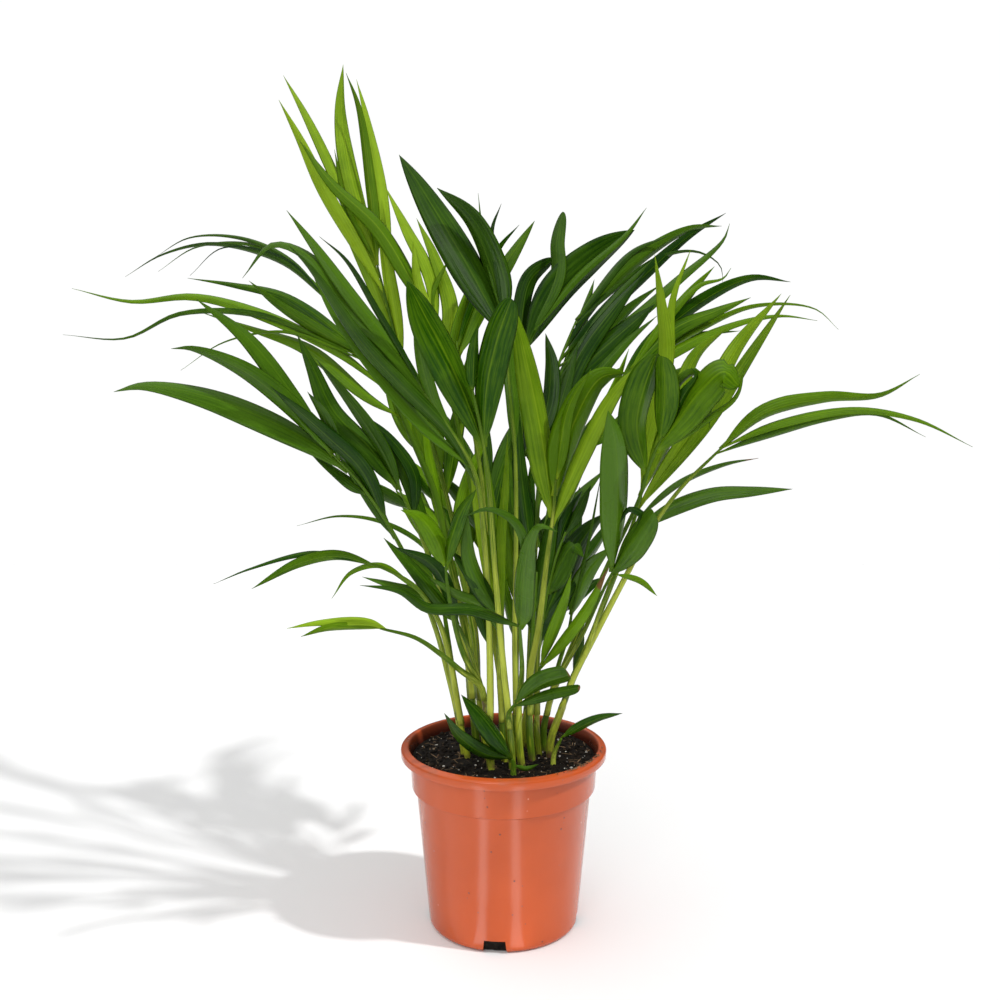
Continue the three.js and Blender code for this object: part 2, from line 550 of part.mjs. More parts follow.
    [11, [-80, 318], [-60, 300], [-34, 275]],
    [12, [-68, 378], [-58, 345], [-41, 302]],
  ]],
  ["frond_38", "mid", "shoot_14", 1.1, [[0, 232], [2, 270], [4, 300]], [
    [12, [-34, 356], [-16, 330], [4, 300]],
    [13, [8, 372], [6, 338], [4, 294]],
    [12, [42, 352], [26, 322], [3, 282]],
    [11, [-28, 300], [-12, 284], [1, 262]],
    [12, [-14, 368], [-6, 336], [3, 288]],
  ]],
  ["frond_39", "dark", "shoot_15", 1.05, [[30, 232], [42, 270], [50, 300]], [
    [12, [22, 362], [34, 332], [50, 300]],
    [13, [64, 370], [58, 336], [49, 294]],
    [12, [92, 346], [74, 316], [46, 284]],
    [11, [84, 296], [66, 284], [40, 264]],
    [12, [44, 372], [48, 338], [48, 290]],
  ]],
  ["frond_40", "light", "shoot_06", 0.05, [[2, 230], [-2, 300], [-6, 360]], [
    [9, [-14, 418], [-10, 385], [-5, 345], [0, 275]],
    [8, [6, 412], [4, 370], [0, 325], [2, 250]],
    [10, [-24, 396], [-17, 352], [-7, 296], [1, 240]],
  ]],
  ["frond_41", "mid", "shoot_08", 0.4, [[14, 250], [16, 320]], [
    [12, [8, 404], [13, 362], [16, 312]],
    [12, [26, 398], [22, 352], [15, 290]],
    [11, [0, 372], [8, 332], [14, 270]],
    [10, [0, 306], [6, 270], [14, 240]],
  ]],
  ["frond_42", "dark", "shoot_10", 0.3, [[26, 240], [30, 300]], [
    [13, [14, 440], [16, 392], [22, 342], [29, 290]],
    [13, [46, 366], [39, 330], [28, 268]],
    [12, [14, 332], [20, 300], [26, 250]],
  ]],
];

const STALK_FOOT_RADIUS = 1.8;
const STALK_TIP_RADIUS = 1.0;

function shootNamed(name) {
  return SHOOTS.find((shoot) => shoot[0] === name);
}

// Where a frond starts, as an x and z seen and a depth, and whether it is rooted in the soil.
// Stalks that leave the same shoot stand beside each other, in the order of their lean.
function startOf([, , origin, lean]) {
  if (typeof origin !== "string") {
    return { x: origin[0], z: SOIL_TOP + origin[1] * DROP_SEEN, y: origin[1], rooted: true };
  }
  const [, , , topDepth, rising] = shootNamed(origin);
  const [x, z] = rising[rising.length - 1];
  const leans = FRONDS.filter((frond) => frond[2] === origin).map((frond) => frond[3]);
  const place = leans.filter((other) => other < lean).length - (leans.length - 1) / 2;
  return { x, z, y: topDepth + place * (2 * STALK_FOOT_RADIUS + GAP), rooted: false };
}

// The place in space of a point that is seen on a frond.
function onFrond(start, lean, [x, z], lift) {
  const away = Math.hypot(x - start.x, z - start.z);
  const bend = 1 - FROND_ARCH + (FROND_ARCH * away) / ARCH_REACH;
  return seen(x, z, start.y + lean * away * bend + lift);
}

function nearestOn(stalk, [x, z]) {
  let best = null;
  for (let i = 0; i + 1 < stalk.length; i++) {
    const [ax, az] = stalk[i];
    const [bx, bz] = stalk[i + 1];
    const run = (bx - ax) ** 2 + (bz - az) ** 2;
    const share = ((x - ax) * (bx - ax) + (z - az) * (bz - az)) / run;
    const t = Math.min(1, Math.max(0, share));
    const spot = [ax + (bx - ax) * t, az + (bz - az) * t];
    const gap = Math.hypot(spot[0] - x, spot[1] - z);
    if (!best || gap < best.gap) best = { spot, gap };
  }
  return best;
}

// Whether an edge of a blade runs backwards between two sections, as on the inside of a tight bend.
function turnsBack(before, after, along) {
  return [0, 2].some((k) => after[k].clone().sub(before[k]).dot(along) < MIN_ADVANCE);
}

function leafletSolid(start, lean, stalk, [width, ...fromTip], index, grow) {
  const route = [...fromTip].reverse();
  const foot = nearestOn(stalk, route[0]);
  if (foot.gap < SNAP) route.shift();
  route.unshift(foot.spot);
  const tip = route[route.length - 1];
  const reach = Math.hypot(tip[0] - route[0][0], tip[1] - route[0][1]);
  const side = index % 2 === 0 ? 1 : -1;
  const places = route.map((spot) => {
    const share = Math.hypot(spot[0] - route[0][0], spot[1] - route[0][1]) / reach;
    return onFrond(start, lean, spot, side * LEAFLET_LIFT * reach * share * share);
  });
  const curve = new THREE.CatmullRomCurve3(places, false, "centripetal");
  const fullWidth = width / Math.cos(LEAFLET_ROLL) + 2 * grow;
  const half = LEAFLET_HALF_THICKNESS + grow;
  const sections = [];
  const { stations, widths } = reach < SHORT_REACH ? SHORT_LEAFLET : LONG_LEAFLET;
  stations.forEach((station, i) => {
    const centre = curve.getPointAt(station);
    const along = curve.getTangentAt(station);
    const view = EYE.clone().sub(centre).normalize();
    const across = along.clone().cross(view).normalize();
    across.applyAxisAngle(along, side * LEAFLET_ROLL);
    const face = across.clone().cross(along).normalize();
    const thick = half * (0.4 + 0.6 * widths[i]);
    const at = (sideways, up) =>
      centre.clone().addScaledVector(across, sideways).addScaledVector(face, up);
    const sectionOf = (reachOut) => {
      const rise = 2 * reachOut * LEAFLET_FOLD;
      return [at(-reachOut, rise), at(0, thick), at(reachOut, rise), at(0, -thick)];
    };
    const nearness = 1 - centre.y / EYE.y;
    let reachOut = (fullWidth * nearness * widths[i]) / 2;
    let section = sectionOf(reachOut);
    for (let tries = 0; i > 0 && tries < MOST_NARROWINGS; tries++) {
      if (!turnsBack(sections[i - 1], section, along)) break;
      reachOut *= NARROWING;
      section = sectionOf(reachOut);
    }
    sections.push(section);
  });
  return loft(sections);
}

function stalkSolid(start, lean, stalk, grow) {
  const places = stalk.map((spot) => onFrond(start, lean, spot, 0));
  const foot = seen(start.x, start.z, start.y);
  if (start.rooted) {
    const below = foot.clone();
    below.z = SOIL_TOP - ROOT_DEPTH / 2;
    places.unshift(below);
  } else {
    places.unshift(foot);
  }
  return tube(places, STALK_FOOT_RADIUS, STALK_TIP_RADIUS, grow);
}

function frondSolid(frond, grow) {
  const [, , , lean, rising, leaflets] = frond;
  const start = startOf(frond);
  const stalk = [[start.x, start.z], ...rising];
  const parts = [stalkSolid(start, lean, rising, grow)];
  leaflets.forEach((leaflet, i) => parts.push(leafletSolid(start, lean, stalk, leaflet, i, grow)));
  return wasm.Manifold.union(parts);
}

function near(a, b) {
  const first = a.boundingBox();
  const second = b.boundingBox();
  return [0, 1, 2].every((k) => first.min[k] < second.max[k] && second.min[k] < first.max[k]);
}

// Cuts a piece back to a small gap wherever it would press into a piece made before it.
function clearOf(solid, neighbours) {
  let free = solid;
  for (const neighbour of neighbours) {
    if (near(free, neighbour)) free = free.subtract(neighbour);
  }
  return largestPiece(free.simplify(SLIVER));
}

// ---- Assembly ----
const plant = new THREE.Group();

function addNode(name, solid, finish) {
  const mesh = new THREE.Mesh(geometryFrom(solid), finish);
  mesh.name = name;
  plant.add(mesh);
}

addNode("pot", potSolid(), material(TERRACOTTA, 0.45));

const shootGreen = material(SHOOT_GREEN, 0.55);
const settled = [];
let soil = soilSolid();
for (const shoot of SHOOTS) {
  addNode(shoot[0], clearOf(shootSolid(shoot, 0), settled), shootGreen);
  const wide = shootSolid(shoot, GAP);
  settled.push(wide);
  soil = soil.subtract(wide);
}

const leafFinishes = {
  dark: material(LEAF_TONES.dark, 0.4),
  mid: material(LEAF_TONES.mid, 0.42),
  light: material(LEAF_TONES.light, 0.45),
};
for (const frond of FRONDS) {
  const [name, tone] = frond;
  addNode(name, clearOf(frondSolid(frond, 0), settled), leafFinishes[tone]);
  const wide = frondSolid(frond, GAP);
  settled.push(wide);
  if (startOf(frond).rooted) soil = soil.subtract(wide);
}
addNode("soil", largestPiece(soil), material(DARK_SOIL, 0.95));

export default plant;
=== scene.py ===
"""A potted feather palm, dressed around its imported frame: leaves, stalks, soil and a plastic pot.

Drawn sizes are in millimetres and meshes in metres. +Z is up and -Y is the front.
"""
import math
import random

import bmesh
import bpy
import numpy as np
from mathutils import Matrix, Vector, noise


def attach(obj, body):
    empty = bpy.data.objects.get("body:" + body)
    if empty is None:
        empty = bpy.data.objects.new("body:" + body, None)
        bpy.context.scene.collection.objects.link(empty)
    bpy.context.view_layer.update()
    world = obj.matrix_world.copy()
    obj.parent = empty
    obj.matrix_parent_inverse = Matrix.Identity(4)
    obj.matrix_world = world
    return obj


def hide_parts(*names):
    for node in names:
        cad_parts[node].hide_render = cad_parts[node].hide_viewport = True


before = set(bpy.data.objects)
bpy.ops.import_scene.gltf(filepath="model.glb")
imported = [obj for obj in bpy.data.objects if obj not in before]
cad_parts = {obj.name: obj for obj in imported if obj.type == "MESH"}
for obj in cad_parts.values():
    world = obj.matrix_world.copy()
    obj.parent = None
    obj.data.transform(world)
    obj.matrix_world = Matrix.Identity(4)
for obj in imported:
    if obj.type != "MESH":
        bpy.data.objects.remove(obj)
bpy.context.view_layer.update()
MM = 0.001

# ---- Pot, as in the frame ----
POT_HEIGHT = 153.4
RIM_RADIUS = 85
RIM_BAND = 8.4
FLANGE_INNER_RADIUS = 79
COLLAR_TOP_RADIUS = 77.2
COLLAR_FOOT_RADIUS = 75.9
STEP_HEIGHT = 119
BODY_TOP_RADIUS = 72.2
BODY_FOOT_RADIUS = 62.4
BASE_CORNER = 5.5
WALL = 1.5
PLATE_LIFT = 4
CENTRE_PAD_RADIUS = 20
FOOT_RING_WIDTH = 4
NOTCH_COUNT = 4
NOTCH_WIDTH = 19.5
NOTCH_TOP_SHARE = 0.88
NOTCH_HEIGHT = 11
NOTCH_DEPTH = 12
NOTCH_TURN = -0.117
POT_SIDES = 192

# ---- Soil ----
SOIL_TOP = 144.5
SOIL_PLAY = 0.5
SOIL_RADIUS = COLLAR_TOP_RADIUS - WALL - SOIL_PLAY
SOIL_MOUND = 1.5
SOIL_SIDES = 160
SOIL_RINGS = 56
ROOT_DEPTH = 12
SOIL_BUMP = 1.1
GAP = 0.3

# ---- Plant ----
# The photo's eye, and the shift from the places drawn to the plane through the pot's middle
EYE = np.array([-2.95, -999, 506.6])
DRAWING_SHIFT = np.array([-2.95, 0, -1.8])
# How much higher a foot on the soil is drawn for each millimetre that it stands farther back
DROP_SEEN = 0.37
# Depth between stalks of one shoot, and how far they reach down into it
STALK_SPACING = 3.9
STALK_SUNK = 12
STALK_FOOT_RADIUS = 2.5
STALK_TIP_RADIUS = 0.8
STALK_FLATTENING = 0.85
STALK_TAPER_POWER = 0.65
STALK_SIDES = 12
# A frond bows out: its lean grows to the full value at the arch's reach from its shoot
FROND_ARCH = 0.4
ARCH_REACH = 330
# Every leaflet starts on its stalk: a drawn end nearer to it than this is moved there, a farther one joined
SNAP = 11
PLANT_MARKS = ("along", "across", "tone", "dry", "stalk")

# Each place below is an x and a z, read from the photo on the upright plane through the
# pot's middle. Name, foot x and y on the soil, radius, depth at the top, and the places seen going up.
SHOOTS = [
    ["shoot_01", [-31, 1], 3.0, -1, [[-33, 168], [-37, 189]]],
    ["shoot_02", [-27, -9], 2.8, -13, [[-31, 165], [-34, 183]]],
    ["shoot_03", [-12, -20], 3.4, -27, [[-11, 160], [-12, 188], [-16, 204]]],
    ["shoot_04", [-20, -1], 3.4, -1, [[-21, 170], [-24, 206]]],
    ["shoot_05", [-9, -37], 3.4, -38, [[-9, 155], [-8, 188]]],
    ["shoot_06", [2, -19], 3.2, -20, [[2, 162], [1, 186]]],
    ["shoot_07", [8, -38], 3.2, -39, [[9, 155], [7, 180]]],
    ["shoot_08", [13, -11], 3.4, -11, [[13, 162], [13, 192]]],
    ["shoot_09", [16, -30], 3.2, -32, [[15.6, 160], [15.5, 189]]],
    ["shoot_10", [25, -17], 3.4, -19, [[24.6, 162], [24.6, 192]]],
    ["shoot_11", [31, -6], 3.0, -5, [[30.6, 165], [30.5, 192]]],
    ["shoot_12", [34, 8], 3.4, 5, [[36, 166], [41, 191]]],
    ["shoot_13", [39, -10], 3.4, -17, [[42, 157], [50, 182], [60, 211]]],
    ["shoot_14", [3, 10], 3.4, 13, [[3, 170], [1, 205]]],
    ["shoot_15", [20, 13], 3.4, 19, [[21, 170], [24, 205]]],
    ["shoot_16", [-13, 15], 3.4, 21, [[-14, 170], [-18, 205]]],
]

# Name, tone, the shoot or the foot that it rises from, lean, the places of its stalk going up,
# then its leaflets: a width as seen, and the places seen from the tip back to the stalk.
FRONDS = [
    ["frond_01", "light", "shoot_16", 0.42,
     [[-20, 250], [-40, 350], [-62, 430], [-80, 480], [-90, 520], [-96, 545]], [
        [9, [-166, 688], [-149, 658], [-130, 619], [-95, 535]],
        [12, [-170, 670], [-155, 640], [-137, 600], [-98, 521]],
        [13, [-120, 696], [-122, 661], [-114, 607], [-95, 546]],
        [9, [-118, 690], [-109, 664], [-101, 601], [-94, 550]],
        [11, [-110, 685], [-102, 656], [-90, 589], [-84, 514]], [5, [-128, 633], [-120, 590], [-100, 545]],
        [10, [-136, 606], [-112, 560], [-92, 515], [-78, 474]],
        [9, [-92, 596], [-90, 560], [-84, 515], [-77, 472]]]],
    ["frond_02", "dark", "shoot_05", -0.08, [[-9, 257], [-13, 330], [-20, 380], [-42, 420], [-60, 445]], [
        [18, [-202, 535], [-178, 561], [-148, 551], [-124, 519], [-87, 485], [-48, 433]],
        [12, [-165, 560], [-148, 542], [-109, 484], [-78, 450], [-40, 410], [-17, 370]],
        [12, [-166, 587], [-147, 563], [-118, 524], [-85, 482], [-62, 448]],
        [6, [-141, 567], [-121, 549], [-95, 505], [-60, 445]],
        [12, [-148, 541], [-132, 510], [-100, 466], [-60, 420], [-25, 385]],
        [11, [-67, 514], [-64, 480], [-54, 440], [-36, 410]], [11, [-22, 322], [-18, 282], [-11, 238]]]],
    ["frond_03", "dark", "shoot_16", 0.27, [[-22, 250], [-40, 330], [-66, 400], [-100, 470], [-133, 515]], [
        [4, [-270, 551], [-243, 566], [-202, 566], [-164, 549], [-133, 520]],
        [5, [-294, 536], [-264, 553], [-225, 561], [-171, 547], [-133, 515]],
        [4, [-268, 540], [-237, 559], [-190, 560], [-150, 535], [-125, 505]],
        [3, [-243, 537], [-217, 558], [-170, 550], [-135, 518]]]],
    ["frond_04", "mid", "shoot_04", 0.08,
     [[-26, 240], [-44, 325], [-51, 360], [-68, 403], [-86, 444], [-112, 480]], [
        [9, [-336, 527], [-290, 517], [-241, 521], [-189, 508], [-128, 478], [-88, 444]],
        [5, [-345, 491], [-296, 488], [-252, 507], [-190, 506], [-140, 486], [-106, 472]],
        [11, [-245, 535], [-209, 530], [-169, 521], [-127, 492], [-97, 465]],
        [9, [-197, 533], [-178, 517], [-150, 498], [-112, 470]],
        [12, [-237, 509], [-195, 496], [-150, 480], [-103, 441], [-79, 425]],
        [3, [-253, 463], [-218, 485], [-171, 493], [-130, 480], [-104, 468]],
        [13, [-100, 498], [-84, 460], [-66, 410]], [13, [-125, 440], [-102, 415], [-76, 382], [-52, 355]],
        [10, [-60, 440], [-58, 410], [-50, 365], [-44, 328]]]],
    ["frond_05", "dark", "shoot_04", -0.1, [[-30, 240], [-50, 290], [-66, 335], [-81, 368]], [
        [18, [-160, 491], [-148, 465], [-132, 430], [-104, 401], [-81, 368]],
        [12, [-145, 471], [-119, 437], [-95, 400], [-80, 366]],
        [10, [-116, 432], [-88, 409], [-68, 378], [-64, 345]], [11, [-120, 381], [-104, 369], [-74, 352]],
        [11, [-98, 418], [-82, 392], [-66, 356], [-56, 306]]]],
    ["frond_06", "dark", "shoot_01", -0.3, [[-42, 211], [-53, 254], [-80, 320], [-112, 372], [-134, 396]], [
        [20, [-307, 446], [-284, 451], [-240, 444], [-195, 428], [-150, 405], [-122, 382]],
        [15, [-260, 480], [-244, 480], [-206, 464], [-171, 437], [-134, 398]],
        [17, [-239, 519], [-200, 489], [-164, 443], [-132, 396]],
        [11, [-153, 446], [-141, 427], [-128, 392]], [10, [-152, 397], [-132, 383], [-106, 364]],
        [14, [-182, 450], [-140, 412], [-112, 384], [-90, 340]],
        [12, [-150, 430], [-122, 394], [-84, 328]]]],
    ["frond_07", "mid", "shoot_03", -0.6, [[-29, 229], [-36, 252], [-43, 290], [-44, 307]], [
        [16, [-80, 351], [-66, 346], [-52, 328], [-44, 305]],
        [12, [-19, 368], [-31, 350], [-40, 326], [-44, 303]]]],
    ["frond_08", "mid", "shoot_02", 0.2, [[-40, 225], [-46, 270], [-51, 300]], [
        [4, [-164, 338], [-130, 346], [-94, 341], [-62, 322], [-51, 300]]]],
    ["frond_09", "mid", "shoot_02", -0.48, [[-42, 231], [-51, 261], [-69, 288], [-92, 302], [-108, 308]], [
        [5, [-233, 290], [-202, 303], [-152, 316], [-108, 311]],
        [9, [-202, 286], [-163, 307], [-133, 313], [-100, 305]],
        [5, [-137, 278], [-121, 300], [-96, 306], [-66, 284]]]],
    ["frond_10", "dark", "shoot_03", -0.36, [[-24, 232], [-36, 260]], [
        [13, [-94, 328], [-68, 302], [-36, 260]], [11, [-86, 321], [-53, 304], [-34, 256]],
        [10, [-112, 296], [-86, 289], [-58, 280], [-35, 258]]]],
    ["frond_11", "light", "shoot_03", -0.8, [[-33, 218], [-47, 230], [-69, 245], [-98, 253]], [
        [7, [-174, 253], [-148, 258], [-107, 259], [-90, 252]], [7, [-163, 246], [-140, 253], [-98, 252]]]],
    ["frond_12", "dark", "shoot_09", -0.75, [[18, 217], [17, 240], [16, 257]], [
        [10, [-114, 289], [-82, 285], [-58, 271], [-23, 270], [14, 255]],
        [18, [47, 333], [33, 338], [25, 328], [19, 298], [15, 252]],
        [9, [-30, 345], [-10, 352], [10, 344], [21, 325], [22, 295], [16, 257]]]],
    ["frond_13", "dark", "shoot_06", -0.45, [[-1, 217], [-1, 245], [0, 265]], [
        [15, [-40, 318], [-20, 296], [0, 262]], [10, [-58, 296], [-36, 281], [-14, 270], [-1, 250]],
        [14, [-26, 346], [-24, 312], [-1, 262]]]],
    ["frond_14", "mid", "shoot_07", -0.3, [[3, 217], [-4, 300], [-10, 381], [-15, 415], [-22, 448]], [
        [27, [-73, 533], [-60, 508], [-39, 468], [-23, 430], [-14, 400]],
        [23, [9, 519], [-3, 485], [-11, 446], [-14, 402]], [10, [-17, 500], [-20, 484], [-22, 446]]]],
    ["frond_15", "dark", "shoot_08", 0.14, [[12, 246], [13, 330], [12, 400], [8, 440], [4, 490], [1, 508]], [
        [21, [-78, 629], [-63, 607], [-40, 570], [-16, 528], [2, 490]],
        [19, [-49, 604], [-23, 578], [-4, 532], [1, 500]], [3, [-17, 600], [-12, 560], [1, 508]],
        [5, [1, 592], [-7, 570], [1, 508]], [11, [12, 502], [8, 476], [12, 436], [13, 400]]]],
    ["frond_16", "mid", "shoot_14", 0.26, [[0, 240], [-8, 330], [-22, 420], [-33, 470], [-34, 486]], [
        [8, [15, 576], [-1, 557], [-20, 515], [-34, 480]],
        [13, [27, 579], [7, 550], [-18, 512], [-36, 474]],
        [12, [-20, 540], [-30, 505], [-36, 460], [-22, 420]]]],
    ["frond_17", "light", "shoot_14", 0.36, [[-4, 240], [-16, 330], [-34, 420], [-47, 470], [-52, 500]], [
        [12, [-89, 605], [-72, 573], [-53, 534], [-50, 490]], [10, [-68, 564], [-65, 527], [-51, 492]],
        [12, [-65, 581], [-50, 550], [-38, 509], [-46, 466]], [5, [-40, 550], [-54, 521], [-52, 498]],
        [12, [-155, 640], [-130, 607], [-95, 574], [-70, 534], [-52, 500]],
        [10, [-16, 502], [-23, 478], [-30, 450], [-32, 410]]]],
    ["frond_18", "dark", "shoot_11", 0.36, [[29, 230], [22, 350], [16, 430], [18, 470], [22, 492]], [
        [22, [105, 572], [75, 550], [46, 522], [20, 478]],
        [6, [114, 589], [98, 568], [60, 535], [22, 488]], [13, [42, 550], [24, 534], [17, 500], [18, 465]],
        [12, [49, 586], [44, 563], [44, 536], [22, 488]], [9, [15, 527], [15, 500], [17, 455]],
        [14, [36, 492], [40, 465], [36, 430], [18, 395]]]],
    ["frond_19", "dark", "shoot_15", 0.6, [[25, 240], [30, 350], [38, 440], [48, 472], [60, 502]], [
        [11, [173, 575], [149, 573], [107, 548], [60, 502]], [6, [133, 568], [103, 555], [60, 502]],
        [10, [176, 585], [147, 567], [112, 536], [70, 495], [48, 470]],
        [8, [179, 577], [174, 564], [140, 534], [100, 500], [46, 466]],
        [4, [175, 529], [172, 545], [155, 555], [128, 552], [95, 530], [58, 498]],
        [19, [122, 515], [95, 492], [65, 465], [38, 436]], [16, [105, 488], [80, 470], [36, 425]],
        [16, [114, 540], [88, 510], [62, 474], [34, 405]],
        [14, [98, 466], [72, 446], [48, 412], [32, 375]], [12, [62, 486], [52, 450], [38, 400], [30, 350]],
        [7, [126, 562], [102, 544], [75, 514], [50, 476]],
        [8, [120, 550], [94, 524], [68, 490], [42, 452]],
        [12, [126, 530], [101, 510], [74, 480], [37, 436]],
        [10, [124, 506], [100, 486], [74, 458], [36, 424]],
        [12, [74, 534], [66, 500], [56, 462], [36, 422]]]],
    ["frond_20", "mid", "shoot_15", 0.22, [[30, 235], [48, 330], [68, 400], [85, 440], [104, 464]], [
        [10, [168, 544], [153, 527], [134, 502], [104, 464]],
        [6, [181, 543], [175, 535], [157, 530], [135, 508], [104, 464]],
        [11, [228, 532], [198, 535], [160, 518], [120, 485], [94, 452]],
        [14, [197, 520], [171, 510], [136, 495], [98, 458]],
        [5, [267, 495], [248, 511], [200, 513], [158, 495], [100, 460]],
        [10, [250, 502], [221, 506], [186, 500], [136, 478], [88, 446]],
        [7, [190, 494], [155, 490], [125, 475], [84, 440]],
        [12, [150, 468], [125, 452], [96, 422], [68, 400]],
        [11, [102, 480], [90, 445], [72, 405], [54, 350]]]],
    ["frond_21", "light", "shoot_13", 0.05, [[76, 250], [83, 270], [94, 302], [112, 356], [116, 384]], [
        [15, [221, 523], [187, 480], [160, 422], [129, 376], [110, 352]],
        [12, [228, 522], [192, 468], [165, 425], [125, 372], [110, 352]],
        [15, [180, 497], [155, 474], [137, 417], [113, 362]],
        [13, [121, 553], [126, 518], [130, 474], [116, 407], [114, 368]],
        [9, [149, 557], [136, 517], [134, 470], [116, 384]]]],
    ["frond_22", "mid", "shoot_12", -0.38, [[52, 220], [85, 300], [112, 360], [121, 391], [130, 411]], [
        [26, [124, 476], [114, 448], [109, 418], [117, 380]], [20, [129, 474], [131, 444], [128, 406]],
        [9, [151, 465], [156, 460], [146, 443], [130, 411]],
        [28, [190, 450], [178, 462], [160, 448], [144, 426], [124, 398]],
        [8, [167, 417], [166, 438], [154, 461], [139, 449], [127, 404]],
        [6, [194, 466], [187, 442], [165, 425], [124, 396]]]],
    ["frond_23", "light", "shoot_10", -0.2, [[25, 217], [31, 250], [38, 310], [43, 349], [45, 376]], [
        [20, [10, 516], [21, 470], [33, 411], [42, 345]], [11, [72, 464], [54, 432], [45, 376]],
        [22, [100, 461], [80, 457], [59, 421], [44, 362]],
        [15, [123, 474], [95, 451], [65, 398], [42, 338]]]],
    ["frond_24", "dark", "shoot_12", -0.55, [[45, 205], [66, 245], [84, 285], [93, 303]], [
        [22, [86, 431], [92, 407], [95, 362], [92, 300]],
        [22, [124, 349], [114, 335], [102, 318], [91, 298]],
        [9, [95, 338], [104, 352], [116, 346], [110, 324], [90, 296]]]],
    ["frond_25", "mid", "shoot_13", -0.2, [[79, 250], [101, 294], [121, 333], [144, 367], [178, 402]], [
        [12, [333, 460], [302, 443], [259, 441], [210, 429], [176, 400]],
        [9, [378, 402], [332, 424], [282, 432], [217, 420], [178, 402]],
        [7, [340, 410], [300, 428], [260, 424], [203, 407], [172, 396]]]],
    ["frond_26", "dark", "shoot_13", -0.06, [[72, 240], [95, 300], [112, 345]], [
        [6, [207, 393], [179, 387], [145, 372], [112, 345]],
        [13, [235, 368], [202, 367], [171, 365], [139, 354], [108, 334]]]],
    ["frond_27", "mid", "shoot_13", -0.45, [[70, 232], [84, 275], [94, 298]], [
        [5, [128, 280], [114, 292], [94, 298]]]],
    ["frond_28", "dark", "shoot_11", 0.2, [[31, 235], [36, 272], [44, 308], [53, 333]], [
        [9, [66, 367], [53, 341], [46, 314]], [9, [73, 371], [61, 347], [52, 330]],
        [22, [86, 349], [70, 332], [53, 300], [34, 258]], [17, [68, 312], [60, 322], [48, 306], [38, 282]],
        [14, [70, 300], [58, 282], [44, 258], [32, 240]]]],
    ["frond_29", "dark", "shoot_12", 0.05, [[48, 222], [56, 250], [59, 270]], [
        [15, [90, 321], [72, 300], [58, 264]], [3, [81, 379], [72, 329], [58, 266]],
        [9, [60, 218], [63, 236], [62, 252], [57, 256]]]],
    ["frond_30", "mid", "shoot_10", -0.5, [[28, 206], [34, 222]], [
        [10, [58, 300], [53, 276], [34, 222]], [10, [88, 304], [68, 266], [33, 220]]]],
    ["frond_31", "dark", "shoot_07", -0.7, [[9, 184], [13, 190]], [
        [16, [57, 214], [36, 207], [13, 190]], [9, [66, 203], [38, 197], [11, 187]]]],
    ["frond_32", "dark", [11, -48], -0.3, [[11, 138], [10, 142]], [
        [17, [-32, 197], [-13, 176], [4, 152], [10, 142]],
        [12, [-46, 181], [-33, 160], [-11, 145], [10, 142]], [4, [32, 137], [22, 133], [11, 136]]]],
    ["frond_33", "mid", [44, -25], -0.2, [[45, 146], [51, 160]], [
        [8, [101, 181], [80, 176], [51, 160]]]],
    ["frond_34", "mid", "shoot_16", 0.62, [[-22, 250], [-36, 330], [-48, 390]], [
        [13, [-92, 452], [-74, 420], [-48, 390]], [14, [-62, 470], [-58, 430], [-46, 384]],
        [13, [-24, 462], [-32, 425], [-42, 364]], [12, [-96, 400], [-72, 384], [-40, 350]],
        [11, [-10, 410], [-22, 384], [-36, 330]], [12, [-74, 440], [-62, 400], [-43, 360]],
        [12, [-84, 366], [-62, 352], [-34, 318]]]],
    ["frond_35", "dark", "shoot_14", 0.8, [[-2, 250], [-8, 320], [-12, 370]], [
        [13, [-56, 440], [-36, 410], [-12, 370]], [14, [-18, 458], [-16, 415], [-12, 366]],
        [13, [24, 440], [8, 404], [-10, 350]], [12, [-54, 384], [-34, 362], [-8, 325]],
        [12, [30, 384], [14, 360], [-6, 310]], [12, [-36, 420], [-26, 390], [-11, 345]],
        [12, [8, 412], [2, 380], [-8, 330]]]],
    ["frond_36", "dark", "shoot_15", 0.86, [[28, 250], [34, 320], [42, 370]], [
        [13, [8, 448], [22, 412], [42, 370]], [14, [50, 452], [48, 412], [42, 366]],
        [13, [88, 436], [66, 404], [40, 354]], [12, [84, 384], [62, 362], [36, 330]],
        [11, [4, 396], [16, 368], [34, 318]], [12, [28, 440], [34, 400], [40, 350]],
        [12, [72, 424], [58, 390], [38, 340]]]],
    ["frond_37", "mid", "shoot_16", 0.95, [[-24, 235], [-36, 280], [-44, 315]], [
        [12, [-84, 368], [-66, 344], [-44, 315]], [13, [-48, 384], [-48, 350], [-42, 308]],
        [11, [-10, 366], [-22, 336], [-38, 290]], [11, [-80, 318], [-60, 300], [-34, 275]],
        [12, [-68, 378], [-58, 345], [-41, 302]]]],
    ["frond_38", "mid", "shoot_14", 1.1, [[0, 232], [2, 270], [4, 300]], [
        [12, [-34, 356], [-16, 330], [4, 300]], [13, [8, 372], [6, 338], [4, 294]],
        [12, [42, 352], [26, 322], [3, 282]], [11, [-28, 300], [-12, 284], [1, 262]],
        [12, [-14, 368], [-6, 336], [3, 288]]]],
    ["frond_39", "dark", "shoot_15", 1.05, [[30, 232], [42, 270], [50, 300]], [
        [12, [22, 362], [34, 332], [50, 300]], [13, [64, 370], [58, 336], [49, 294]],
        [12, [92, 346], [74, 316], [46, 284]], [11, [84, 296], [66, 284], [40, 264]],
        [12, [44, 372], [48, 338], [48, 290]]]],
    ["frond_40", "light", "shoot_06", 0.05, [[2, 230], [-2, 300], [-6, 360]], [
        [9, [-14, 418], [-10, 385], [-5, 345], [0, 275]], [8, [6, 412], [4, 370], [0, 325], [2, 250]],
        [10, [-24, 396], [-17, 352], [-7, 296], [1, 240]]]],
    ["frond_41", "mid", "shoot_08", 0.4, [[14, 250], [16, 320]], [
